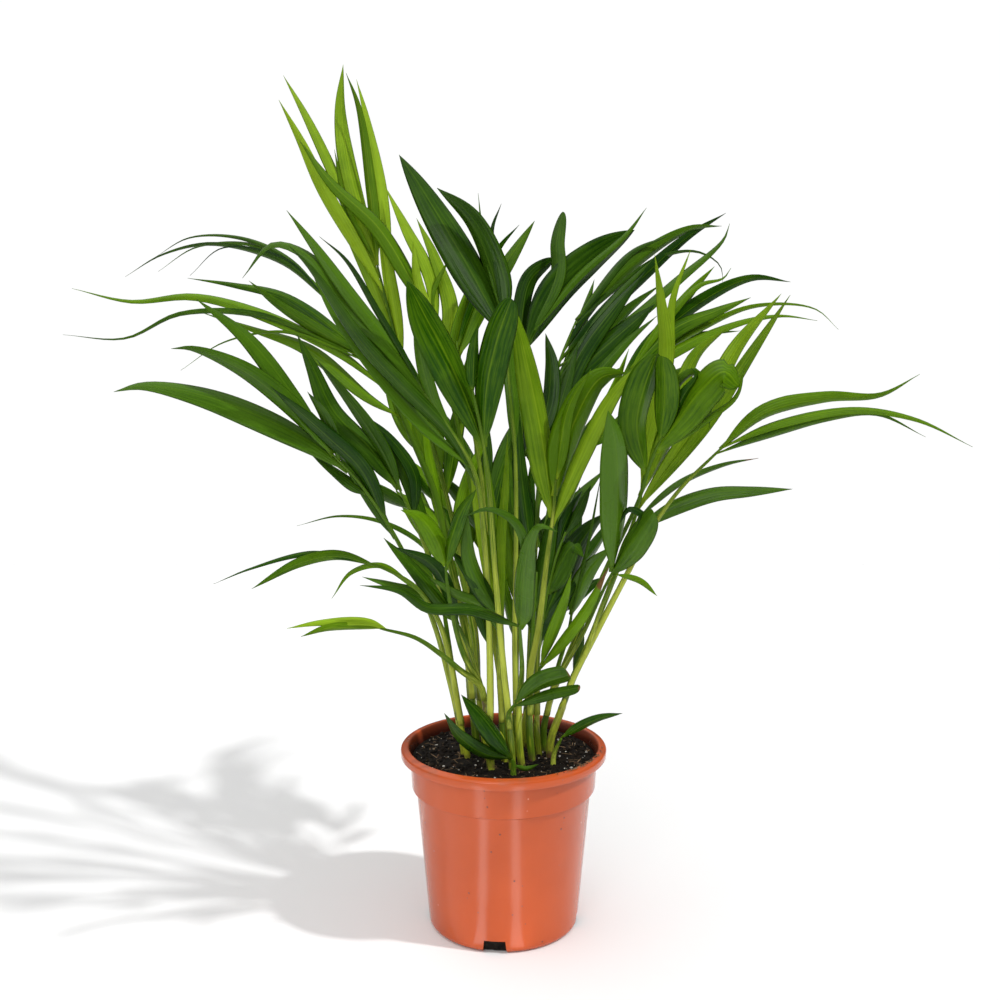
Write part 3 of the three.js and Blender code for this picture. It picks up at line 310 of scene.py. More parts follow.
        [12, [8, 404], [13, 362], [16, 312]], [12, [26, 398], [22, 352], [15, 290]],
        [11, [0, 372], [8, 332], [14, 270]], [10, [0, 306], [6, 270], [14, 240]]]],
    ["frond_42", "dark", "shoot_10", 0.3, [[26, 240], [30, 300]], [
        [13, [14, 440], [16, 392], [22, 342], [29, 290]], [13, [46, 366], [39, 330], [28, 268]],
        [12, [14, 332], [20, 300], [26, 250]]]],
]


# ---- Places and curves ----
# Share of a curve's length on each side of a place, over which its direction is taken
DIRECTION_STEP = 0.015


def seen(x, z, y):
    """The place in space of a point drawn at x and z on the pot's middle plane, at depth y."""
    on_plane = np.array([x, 0, z], float) + DRAWING_SHIFT
    return on_plane + (EYE - on_plane) * (y / EYE[1])


def catmull_rom(points, per_span=14):
    """Dense places on a centripetal curve through the points."""
    pts = [2 * points[0] - points[1], *points, 2 * points[-1] - points[-2]]
    places = []
    for p0, p1, p2, p3 in zip(pts, pts[1:], pts[2:], pts[3:]):
        knots = [0.0]
        for a, b in ((p0, p1), (p1, p2), (p2, p3)):
            knots.append(knots[-1] + max(1e-6, np.linalg.norm(b - a)) ** 0.5)
        t0, t1, t2, t3 = knots
        for t in np.linspace(t1, t2, per_span, endpoint=False):
            a1 = (t1 - t) / (t1 - t0) * p0 + (t - t0) / (t1 - t0) * p1
            a2 = (t2 - t) / (t2 - t1) * p1 + (t - t1) / (t2 - t1) * p2
            a3 = (t3 - t) / (t3 - t2) * p2 + (t - t2) / (t3 - t2) * p3
            b1 = (t2 - t) / (t2 - t0) * a1 + (t - t0) / (t2 - t0) * a2
            b2 = (t3 - t) / (t3 - t1) * a2 + (t - t1) / (t3 - t1) * a3
            places.append((t2 - t) / (t2 - t1) * b1 + (t - t1) / (t2 - t1) * b2)
    places.append(points[-1])
    return np.array(places)


def even_steps(places, shares):
    """Places and directions at these shares of the length of a dense polyline."""
    lengths = np.linalg.norm(np.diff(places, axis=0), axis=1)
    run = np.concatenate([[0], np.cumsum(lengths)])
    at = np.array(shares) * run[-1]
    spots = np.stack([np.interp(at, run, places[:, k]) for k in range(3)], axis=1)
    step = run[-1] * DIRECTION_STEP
    ahead = np.stack([np.interp(at + step, run, places[:, k]) for k in range(3)], axis=1)
    behind = np.stack([np.interp(at - step, run, places[:, k]) for k in range(3)], axis=1)
    along = ahead - behind
    return spots, along / np.linalg.norm(along, axis=1)[:, None]


def unit(v):
    return v / np.linalg.norm(v)


def turned_about(v, axis, angle):
    return (v * math.cos(angle) + np.cross(axis, v) * math.sin(angle)
            + axis * np.dot(axis, v) * (1 - math.cos(angle)))


# ---- Mesh making ----
class Skin:
    """Collects closed lofts with a few numbers at each point, and makes one mesh of them."""

    def __init__(self, marks):
        self.places = []
        self.faces = []
        self.marks = {name: [] for name in marks}

    def loft(self, rings, **marks):
        """Adds a closed skin over rings of points. Each mark is one number, or one for each point."""
        start = len(self.places)
        sides = len(rings[0])
        for ring in rings:
            self.places.extend(tuple(p * MM) for p in ring)
        count = sides * len(rings)
        for name, values in self.marks.items():
            given = np.asarray(marks.get(name, 0.0), float)
            values.extend(np.broadcast_to(given, count) if given.ndim == 0 else given.ravel())
        for s in range(len(rings) - 1):
            for i in range(sides):
                a = start + s * sides + i
                b = start + s * sides + (i + 1) % sides
                self.faces.append((a, b, b + sides, a + sides))
        self.faces.append(tuple(range(start + sides - 1, start - 1, -1)))
        self.faces.append(tuple(range(start + count - sides, start + count)))

    def piece(self, name, materials):
        mesh = bpy.data.meshes.new(name)
        mesh.from_pydata(self.places, [], self.faces)
        for mark, values in self.marks.items():
            layer = mesh.attributes.new(mark, "FLOAT", "POINT")
            layer.data.foreach_set("value", values)
        return finished_piece(name, mesh, materials)


def placed(name, data):
    """A new object in the scene, with this mesh, light or camera."""
    thing = bpy.data.objects.new(name, data)
    bpy.context.scene.collection.objects.link(thing)
    return thing


def finished_piece(name, mesh, materials):
    """Turns a mesh's faces outwards, smooths them and puts it in the scene, on the root body."""
    bm = bmesh.new()
    bm.from_mesh(mesh)
    bmesh.ops.recalc_face_normals(bm, faces=bm.faces)
    bm.to_mesh(mesh)
    bm.free()
    mesh.shade_smooth()
    for finish in materials:
        mesh.materials.append(finish)
    piece = placed(name, mesh)
    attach(piece, "root")
    return piece


# ---- Material helpers ----
def new_material(name, roughness, specular=0.5):
    finish = bpy.data.materials.new(name)
    finish.use_nodes = True
    tree = finish.node_tree
    shader = tree.nodes["Principled BSDF"]
    shader.inputs["Roughness"].default_value = roughness
    shader.inputs["Specular IOR Level"].default_value = specular
    return finish, tree, shader


class Value:
    """A node's output. Sums and products of it are nodes of the same tree."""

    def __init__(self, tree, socket):
        self.tree = tree
        self.socket = socket

    def __add__(self, other):
        return worked("ADD", self, other)

    def __sub__(self, other):
        return worked("SUBTRACT", self, other)

    def __mul__(self, other):
        return worked("MULTIPLY", self, other)

    def __abs__(self):
        return worked("ABSOLUTE", self)


def feed(socket, value):
    """Sets a socket to a number or a colour, or links a node's output to it."""
    if isinstance(value, Value):
        value.tree.links.new(value.socket, socket)
    else:
        socket.default_value = (*value, 1) if isinstance(value, tuple) else value


def worked(operation, *values, clamp=False):
    """One arithmetic node. The first value is a node's output."""
    tree = values[0].tree
    node = tree.nodes.new("ShaderNodeMath")
    node.operation = operation
    node.use_clamp = clamp
    for socket, value in zip(node.inputs, values):
        feed(socket, value)
    return Value(tree, node.outputs[0])


def span(value, low, high, to_low=0.0, to_high=1.0):
    """A value's smooth change from one number to another between two levels."""
    node = value.tree.nodes.new("ShaderNodeMapRange")
    node.interpolation_type = "SMOOTHSTEP"
    for name, given in zip(("Value", "From Min", "From Max", "To Min", "To Max"),
                           (value, low, high, to_low, to_high)):
        feed(node.inputs[name], given)
    return Value(value.tree, node.outputs[0])


def blend(share, first, second):
    """A colour between two others. A colour node's inputs 0, 6 and 7 are its share and its two colours."""
    node = share.tree.nodes.new("ShaderNodeMix")
    node.data_type = "RGBA"
    for index, given in ((0, share), (6, first), (7, second)):
        feed(node.inputs[index], given)
    return Value(share.tree, node.outputs[2])


def mark(tree, name):
    """One of the numbers that a Skin keeps at each point."""
    node = tree.nodes.new("ShaderNodeAttribute")
    node.attribute_name = name
    return Value(tree, node.outputs["Fac"])


def vector_of(*values):
    node = values[0].tree.nodes.new("ShaderNodeCombineXYZ")
    for socket, value in zip(node.inputs, values):
        feed(socket, value)
    return Value(values[0].tree, node.outputs[0])


def parts_of(vector):
    node = vector.tree.nodes.new("ShaderNodeSeparateXYZ")
    feed(node.inputs[0], vector)
    return [Value(vector.tree, part) for part in node.outputs]


def place_of(tree, kind="Object"):
    return Value(tree, tree.nodes.new("ShaderNodeTexCoord").outputs[kind])


def clouds(vector, scale, detail=3.0, roughness=0.5):
    node = vector.tree.nodes.new("ShaderNodeTexNoise")
    for name, given in (("Vector", vector), ("Scale", scale), ("Detail", detail), ("Roughness", roughness)):
        feed(node.inputs[name], given)
    return Value(vector.tree, node.outputs["Fac"])


def speckles(vector, scale, inner, outer):
    """Small round marks with soft edges."""
    cells = vector.tree.nodes.new("ShaderNodeTexVoronoi")
    feed(cells.inputs["Vector"], vector)
    feed(cells.inputs["Scale"], scale)
    return span(Value(vector.tree, cells.outputs["Distance"]), inner, outer, 1.0, 0.0)


def bumped(shader, height, distance):
    node = height.tree.nodes.new("ShaderNodeBump")
    feed(node.inputs["Distance"], distance)
    feed(node.inputs["Height"], height)
    feed(shader.inputs["Normal"], Value(height.tree, node.outputs["Normal"]))


# ---- Leaf and stalk material ----
STALK_YELLOW = (0.60, 0.68, 0.090)
STALK_GREEN = (0.085, 0.18, 0.009)
DRY_BROWN = (0.19, 0.105, 0.035)


def leaf_material(name, deep, fresh, rib_colour, glow, gloss):
    """A waxy palm leaf: lengthwise veins, a paler middle rib, dry tips and a yellow-green stalk with painted
    shade down its sides.
    """
    finish, tree, shader = new_material(name, 0.34, gloss)
    along, across, tone, dry, stalk = (mark(tree, word) for word in PLANT_MARKS)
    streaks = clouds(vector_of(across * 5.0, along * 2.2, tone * 31.0), 2.4, 4.0)
    blotches = clouds(place_of(tree), 38.0)
    veins = worked("SINE", across * 22.0)
    fine_veins = worked("SINE", across * 71.0)
    freshness = tone * 0.5 + 0.45 + (streaks - 0.5) + (blotches - 0.5) * 0.7
    green = blend(worked("ADD", freshness, veins * 0.075, clamp=True), deep, fresh)
    green = blend(span(abs(across), 0.01, 0.08, 0.34, 0.0), green, rib_colour)
    green = blend(span(along, 0.0, 0.12, 0.55, 0.0), green, rib_colour)
    lines = clouds(vector_of(across * 9.0, along * 3.0, tone), 3.0, 3.0)
    stalk_share = span(along + (lines * 1.9 + tone * 0.28), 0.85, 1.6)
    # Painted shade: each stalk's left and right sides darker green, so that its middle looks lit
    stalk_share = worked("MAXIMUM", stalk_share, span(abs(across), 0.25, 0.75, 0.85, 0.0))
    colour = blend(stalk, green, blend(stalk_share, STALK_YELLOW, STALK_GREEN))
    brown = span(dry + (streaks - 0.5) * 0.5, 0.42, 0.62) * span(dry, 0.0, 0.3)
    colour = blend(brown, colour, DRY_BROWN)
    feed(shader.inputs["Base Color"], colour)
    feed(shader.inputs["Roughness"], blotches * 0.18 + 0.19 + brown * 0.3)
    bumped(shader, veins * 0.4 + fine_veins * 0.06 + streaks * 1.6, 0.00010)
    through = tree.nodes.new("ShaderNodeBsdfTranslucent")
    feed(through.inputs["Color"], colour)
    mixed = tree.nodes.new("ShaderNodeMixShader")
    mixed.inputs[0].default_value = glow
    tree.links.new(shader.outputs[0], mixed.inputs[1])
    tree.links.new(through.outputs[0], mixed.inputs[2])
    tree.links.new(mixed.outputs[0], tree.nodes["Material Output"].inputs["Surface"])
    return finish


# Deep green, fresh green, rib colour, share of light let through, gloss
LEAF_LOOKS = {
    "dark": ((0.009, 0.044, 0.0012), (0.078, 0.185, 0.007), (0.13, 0.25, 0.012), 0.16, 0.20),
    "mid": ((0.018, 0.078, 0.0010), (0.162, 0.325, 0.006), (0.24, 0.40, 0.014), 0.20, 0.12),
    "light": ((0.100, 0.220, 0.003), (0.360, 0.560, 0.026), (0.42, 0.58, 0.030), 0.28, 0.11),
}
LEAF_FINISHES = {tone: leaf_material("leaf_" + tone, *look) for tone, look in LEAF_LOOKS.items()}


# ---- Leaflets and stalks with a look of their own, by frond and place in its row ----
SQUARE_LEAFLETS = {("frond_31", 0), ("frond_31", 1)}
BLUNT_LEAFLETS = {("frond_24", 1), ("frond_22", 0), ("frond_22", 1), ("frond_22", 3), ("frond_14", 1),
                  ("frond_18", 2), ("frond_18", 3)}
BROAD_LEAFLETS = {("frond_14", 0): 1.1, ("frond_15", 0): 1.15, ("frond_15", 1): 1.12, ("frond_18", 0): 1.25,
                  ("frond_16", 1): 1.1, ("frond_24", 0): 1.15, ("frond_23", 2): 1.12, ("frond_23", 0): 1.05,
                  ("frond_28", 3): 1.1, ("frond_18", 5): 1.15, ("frond_19", 8): 1.1}
SLENDER_FRONDS = ("frond_03", "frond_08", "frond_25")
SLENDER_LEAFLETS = {("frond_02", 0), ("frond_04", 0), ("frond_04", 1), ("frond_04", 2), ("frond_04", 4),
                    ("frond_04", 5), ("frond_09", 0), ("frond_19", 4), ("frond_20", 4), ("frond_20", 5)}
WIDEST = {("frond_14", 0): 0.64, ("frond_14", 1): 0.58, ("frond_24", 0): 0.55, ("frond_12", 1): 0.2,
          ("frond_18", 0): 0.5, ("frond_12", 0): 0.28}
LEAFLET_TONES = {("frond_24", 0): 1.9, ("frond_02", 2): 1.6, ("frond_02", 4): 1.6, ("frond_17", 4): -1.2,
                 ("frond_23", 2): -1.2, ("frond_31", 0): 0.3, ("frond_31", 1): 0.1, ("frond_32", 0): -0.6,
                 ("frond_22", 0): -0.3, ("frond_22", 1): -0.2, ("frond_14", 0): -0.5, ("frond_14", 1): -0.7,
                 ("frond_23", 0): -0.3, ("frond_06", 0): 0.7, ("frond_06", 1): 0.5}
DRY_ENDS = {("frond_30", 1): 0.8, ("frond_29", 0): 0.93, ("frond_26", 0): 0.9, ("frond_22", 3): 1.2,
            ("frond_31", 0): 0.98, ("frond_31", 1): 0.97}
DRY_CHOICES = (1.0, 1.08, 1.2, 1.2, 1.2)
STALK_GIRTHS = {"frond_04": 1.6, "frond_23": 1.25}
STALK_TONES = {"frond_23": -1.6, "frond_25": -1.3, "frond_27": -1.0, "frond_05": -1.0, "frond_13": -0.9,
               "frond_02": -0.8}


# ---- Fronds ----
# Leaflets turn and lift out of their frond's plane, to both sides by turns and on a few levels
LEAFLET_ROLL = 0.5
ROLL_PLAY = 0.18
TWIST_PLAY = 0.35
FOLDS = (0.42, 0.7)
RIPPLE = 0.05
LEAFLET_LIFT = 0.09
LIFT_STEP = 0.022
LIFT_LEVELS = 4
LEAFLET_STEPS = 30
LEAFLET_COLUMNS = np.array([-1, -0.82, -0.58, -0.3, 0, 0.3, 0.58, 0.82, 1])
# A leaflet's outline: its rise from a narrow foot to the widest place, then its fall to the tip
RISE_POWER = 2.3
FOOT_WIDTH = 0.22
FOOT_REACH = 0.1
PLAIN_WIDEST = (0.32, 0.46)
BLUNT_WIDEST = (0.5, 0.6)
FALLS = {"square": (7, 0.5), "blunt": (3.2, 0.5), "broad": (2.3, 0.95), "plain": (1.95, 1),
         "slender": (1.05, 1)}
# Its section, in millimetres, with its groove, keel and ribs as shares of its half width or thickness
LEAST_HALF_WIDTH = 0.12
TIP_THICKNESS = 0.2
ROOT_EXTRA_THICKNESS = 0.16
RIB_GROOVE = 0.05
KEEL = 0.35
PLAIN_RIB = 0.018
RIBS = {"square": 0.09, "blunt": 0.05}
# Where a bend is tight, an edge keeps this share of the middle's advance, narrowed by small steps
EDGE_ADVANCE = 0.15
NARROWING = 0.88
NARROWING_TRIES = 12


def shoot_named(name):
    return next(shoot for shoot in SHOOTS if shoot[0] == name)


def start_of(origin, lean):
    """Where a frond starts: an x and z seen and a depth, and whether it is rooted in the soil."""
    if not isinstance(origin, str):
        return origin[0], SOIL_TOP + origin[1] * DROP_SEEN, origin[1], True
    top_depth, rising = shoot_named(origin)[3:]
    leans = [frond[3] for frond in FRONDS if frond[2] == origin]
    place = sum(other < lean for other in leans) - (len(leans) - 1) / 2
    x, z = rising[-1]
    return x, z, top_depth + place * STALK_SPACING, False


def on_frond(start, lean, spot, lift=0.0):
    """The place in space of a spot drawn on a frond: its depth grows with its distance from the start."""
    away = math.hypot(spot[0] - start[0], spot[1] - start[1])
    bend = 1 - FROND_ARCH + FROND_ARCH * away / ARCH_REACH
    return seen(spot[0], spot[1], start[2] + lean * away * bend + lift)


def nearest_on(stalk, spot):
    """The place on a drawn stalk that is nearest to a spot, and the gap between them."""
    best = None
    for (ax, az), (bx, bz) in zip(stalk, stalk[1:]):
        run = (bx - ax) ** 2 + (bz - az) ** 2
        share = ((spot[0] - ax) * (bx - ax) + (spot[1] - az) * (bz - az)) / run
        t = min(1, max(0, share))
        place = [ax + (bx - ax) * t, az + (bz - az) * t]
        gap = math.hypot(place[0] - spot[0], place[1] - spot[1])
        if best is None or gap < best[1]:
            best = (place, gap)
    return best


def leaflet_shape(key):
    if key in SQUARE_LEAFLETS:
        return "square"
    if key in BLUNT_LEAFLETS:
        return "blunt"
    if key in BROAD_LEAFLETS:
        return "broad"
    return "slender" if key[0] in SLENDER_FRONDS or key in SLENDER_LEAFLETS else "plain"


def leaflet_widths(shares, widest, shape):
    """A leaflet's outline: the share of its full width at each share of its length."""
    rise = 1 - (1 - np.minimum(shares / widest, 1)) ** RISE_POWER
    past = np.clip((shares - widest) / (1 - widest), 0, 1)
    power, root = FALLS[shape]
    fall = (1 - past ** power) ** root
    foot = FOOT_WIDTH * (1 - np.minimum(1, shares / FOOT_REACH))
    return np.maximum(rise * fall, foot)


def narrowed_at_bends(centres, sideways, halves):
    """Half widths, made smaller where an edge would run backwards on the inside of a tight bend."""
    kept = halves.copy()
    for i in range(1, len(centres)):
        along = centres[i] - centres[i - 1]
        for sign in (-1, 1):
            for _ in range(NARROWING_TRIES):
                step = along + sign * (sideways[i] * kept[i] - sideways[i - 1] * kept[i - 1])
                if np.dot(step, along) > EDGE_ADVANCE * np.dot(along, along):
                    break
                kept[i] *= NARROWING
    return kept


def leaflet_places(start, lean, stalk, from_tip, side, rise):
    """A leaflet's middle line in space, from the stalk to the tip, lifted towards one side."""
    route = list(reversed(from_tip))
    foot, gap = nearest_on(stalk, route[0])
    if gap < SNAP:
        route = route[1:]
    route = [foot, *route]
    reach = math.dist(route[-1], route[0])
    lifts = [side * rise * reach * (math.dist(spot, route[0]) / reach) ** 2 for spot in route]
    return [on_frond(start, lean, spot, lift) for spot, lift in zip(route, lifts)]


def blade_ring(centre, sideways, way, half, drop, ripple, thick, ribbed):
    """The points round one section of a blade: across its upper side, then back across its under side."""
    face = unit(np.cross(sideways, way))

    def height(s):
        groove = RIB_GROOVE * half * math.exp(-((s / 0.12) ** 2))
        ribs = ribbed * half * math.cos(s * 5.4 * math.pi) * (1 - s * s)
        return ribs - drop * abs(s) ** 1.15 + ripple * s * abs(s) - groove

    def swell(s):
        return thick * (1 - s * s) ** 0.5

    def keel(s):
        return KEEL * thick * math.exp(-((s / 0.15) ** 2))

    ring = [centre + sideways * (s * half) + face * (height(s) + swell(s)) for s in LEAFLET_COLUMNS]
    return ring + [centre + sideways * (s * half) + face * (height(s) - swell(s) - keel(s))
                   for s in LEAFLET_COLUMNS[-2:0:-1]]


def add_leaflet(skin, start, lean, stalk, leaflet, key, dice):
    """One leaflet of a frond: folded along its rib, a little twisted, and dry at its tip in some."""
    width, *from_tip = leaflet
    index = key[1]
    side = 1 if index % 2 == 0 else -1
    rise = LEAFLET_LIFT + LIFT_STEP * (index // 2 % LIFT_LEVELS)
    places = leaflet_places(start, lean, stalk, from_tip, side, rise)
    shape = leaflet_shape(key)
    blunt = shape in ("square", "blunt")
    shares = np.linspace(0, 1, LEAFLET_STEPS)
    shares = 1 - (1 - shares) ** 1.5 if blunt else shares ** 0.9
    centres, along = even_steps(catmull_rom(places), shares)
    nearness = 1 - centres[:, 1].mean() / EYE[1]
    widest = WIDEST.get(key, dice.uniform(*(BLUNT_WIDEST if blunt else PLAIN_WIDEST)))
    full = width * BROAD_LEAFLETS.get(key, 1) * nearness / math.cos(LEAFLET_ROLL)
    halves = np.maximum(full * leaflet_widths(shares, widest, shape) / 2, LEAST_HALF_WIDTH)
    roll = side * LEAFLET_ROLL + dice.uniform(-ROLL_PLAY, ROLL_PLAY)
    twist = dice.uniform(-TWIST_PLAY, TWIST_PLAY)
    fold = dice.uniform(*FOLDS)
    wave = dice.uniform(0, 6.28)
    turned = [turned_about(unit(np.cross(way, unit(EYE - centre))), way, roll + twist * (t - 0.4))
              for centre, way, t in zip(centres, along, shares)]
    halves = narrowed_at_bends(centres, turned, halves)
    rings = []
    for centre, way, sideways, half, t in zip(centres, along, turned, halves, shares):
        drop = fold * (1 - 0.45 * t) * half
        ripple = RIPPLE * half * math.sin(wave + t * 9)
        thick = TIP_THICKNESS + ROOT_EXTRA_THICKNESS * (1 - t)
        rings.append(blade_ring(centre, sideways, way, half, drop, ripple, thick, RIBS.get(shape, PLAIN_RIB)))
    around = np.concatenate([LEAFLET_COLUMNS, LEAFLET_COLUMNS[-2:0:-1]])
    dry_from = DRY_ENDS.get(key, dice.choice(DRY_CHOICES))
    dry = np.clip((shares - dry_from) * 9 + 0.5, 0, 1) * (shares > 0.6)
    skin.loft(rings, along=np.repeat(shares, len(around)), across=np.tile(around, len(shares)),
              tone=LEAFLET_TONES.get(key, dice.uniform(-1, 1)), dry=np.repeat(dry, len(around)))


def angles_round(sides):
    return np.linspace(0, 2 * math.pi, sides, endpoint=False)


def ring_round(centre, way, radius, sides, flatten=1.0):
    side = unit(np.cross(np.array([0, 1.0, 0]), way))
    out = np.cross(way, side)
    return [centre + side * (radius * math.cos(a)) + out * (radius * flatten * math.sin(a))
            for a in angles_round(sides)]


def add_tube(skin, places, radii, sides, flatten=1.0, **marks):
    """A closed round or flattened tube along a curve through the places."""
    shares = np.linspace(0, 1, len(radii))
    centres, along = even_steps(catmull_rom(places), shares)
    rings = [ring_round(centre, way, radius, sides, flatten)
             for centre, way, radius in zip(centres, along, radii)]
    skin.loft(rings, along=np.repeat(shares, sides), across=np.tile(np.sin(angles_round(sides)), len(radii)),
              **marks)


def make_frond(frond):
    """A frond: its stalk, from inside its shoot or from the soil, and its leaflets, as one mesh."""
    name, tone, origin, lean, rising, leaflets = frond
    dice = random.Random(name)
    start = start_of(origin, lean)
    stalk = [[start[0], start[1]], *rising]
    skin = Skin(PLANT_MARKS)
    places = [on_frond(start, lean, spot) for spot in rising]
    foot = seen(start[0], start[1], start[2])
    if start[3]:
        foot[2] = SOIL_TOP - ROOT_DEPTH / 2
    else:
        places.insert(0, foot)
        foot = foot - unit(shoot_way(origin)) * STALK_SUNK
    places = [foot, *places]
    steps = 8 + 5 * len(rising)
    slim = np.linspace(1, 0, steps) ** STALK_TAPER_POWER
    foot_radius = STALK_FOOT_RADIUS * dice.uniform(0.95, 1.2) * STALK_GIRTHS.get(name, 1)
    radii = STALK_TIP_RADIUS + (foot_radius - STALK_TIP_RADIUS) * slim
    stalk_tone = STALK_TONES.get(name, dice.uniform(-1, 1))
    add_tube(skin, places, radii, STALK_SIDES, STALK_FLATTENING, tone=stalk_tone, stalk=1.0)
    for index, leaflet in enumerate(leaflets):
        add_leaflet(skin, start, lean, stalk, leaflet, (name, index), dice)
    piece = skin.piece(name + "_leaf", [LEAF_FINISHES[tone]])
    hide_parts(name)


# ---- Shoots ----
BROWN_SHOOTS = ("shoot_03", "shoot_04")
SHEATH_YELLOW = (0.46, 0.54, 0.036)
SHEATH_GREEN = (0.075, 0.15, 0.007)
SHEATH_BROWN = (0.085, 0.036, 0.026)
# Shoots are a little slimmer here than in the frame, because the photo shows them so
SHOOT_GIRTH = 0.88
SHOOT_SIDES = 20
SHOOT_STEPS = 24
SHEATH_STEPS = 12
# The radius left at the last rings, from the top down
SHOOT_TOP_TAPER = (0.6, 0.8, 0.92)


def shoot_places(shoot):
    name, foot, radius, top_depth, rising = shoot
    top = rising[-1][1]
    places = [np.array([foot[0], foot[1], SOIL_TOP - ROOT_DEPTH], float)]
    for x, z in rising:
        share = (z - SOIL_TOP) / (top - SOIL_TOP)
        places.append(seen(x, z, foot[1] + (top_depth - foot[1]) * share))
    return places


def shoot_way(name):
    places = shoot_places(shoot_named(name))
    return places[-1] - places[-2]


def shoot_material():
    """Smooth leaf sheaths: yellow-green above, red-brown and brown-flecked at the soil."""
    finish, tree, shader = new_material("shoot_sheath", 0.3, 0.4)
    along, across, tone, dry = (mark(tree, word) for word in PLANT_MARKS[:4])
    lines = clouds(vector_of(across * 3.0, along * 1.2, tone * 19.0), 3.0, 4.0)
    spots = span(clouds(place_of(tree), 260.0, 2.0), 0.3, 0.6)
    colour = blend(span(lines + tone * 0.30, 0.32, 0.72), SHEATH_YELLOW, SHEATH_GREEN)
    brown = worked("MAXIMUM", span(along, 0.16, 0.36, 1.0, 0.0) * spots, dry * spots)
    feed(shader.inputs["Base Color"], blend(brown, colour, SHEATH_BROWN))
    bumped(shader, lines, 0.0004)
    return finish


def slanted_sheath(skin, places, radius, top_share, dice):
    """An outer leaf sheath round a shoot, with a slanting mouth that stands a little open."""
    shares = np.linspace(0, top_share, SHEATH_STEPS)
    centres, along = even_steps(catmull_rom(places), shares)
    turn = dice.uniform(0, 2 * math.pi)
    slant = dice.uniform(9, 15)
    angles = angles_round(SHOOT_SIDES)
    rings = []
    for centre, way, t in zip(centres, along, shares):
        up = (t / top_share) ** 3
        girth = SHOOT_GIRTH * radius * (1.05 + 0.06 * swelling(t) - 0.03 * up)
        rings.append([spot + way * (slant * up * math.cos(a - turn))
                      for spot, a in zip(ring_round(centre, way, girth, SHOOT_SIDES), angles)])
    rings.append([centres[-1] + (spot - centres[-1]) * 0.9 - along[-1] * 0.3 for spot in rings[-1]])
    skin.loft(rings, along=np.repeat(np.append(shares, top_share), SHOOT_SIDES),
              across=np.tile(np.sin(angles), len(rings)),
              tone=dice.uniform(-1, 1), dry=dice.choice([0.0, 0.0, 0.35]))


def swelling(share):
    """How far a shoot bulges, most of all just above the soil."""
    return math.exp(-((share - 0.12) / 0.1) ** 2)


def make_shoot(shoot, finish):
    """A shoot with its outer sheath, from inside the soil up to where its stalks come out."""
    name, foot, radius, top_depth, rising = shoot
    dice = random.Random(name)
    places = shoot_places(shoot)
    skin = Skin(PLANT_MARKS)
    radii = [SHOOT_GIRTH * radius * (1.0 + 0.08 * swelling(t)) * (1 - 0.2 * t * t)
             for t in np.linspace(0, 1, SHOOT_STEPS)]
    for back, share in enumerate(SHOOT_TOP_TAPER):
        radii[-1 - back] *= share
    dry = 0.85 if name in BROWN_SHOOTS else 0.0
    add_tube(skin, places, radii, SHOOT_SIDES, tone=dice.uniform(-1, 1), dry=dry)
    slanted_sheath(skin, places, radius, dice.uniform(0.5, 0.8), dice)
    piece = skin.piece(name + "_sheath", [finish])
    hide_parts(name)


# ---- Pot ----
POT_DEEP = (0.495, 0.078, 0.014)
POT_PALE = (0.550, 0.090, 0.017)
# Height of the painted shadow line just under the step
STEP_SHADOW_HEIGHT = 117.6
SHARP_EDGE = math.radians(38)
# Thickness of the dark lumps in the drain notches, partly soil and partly painted shade
NOTCH_SOIL_AND_SHADE_THICKNESS = 3.0


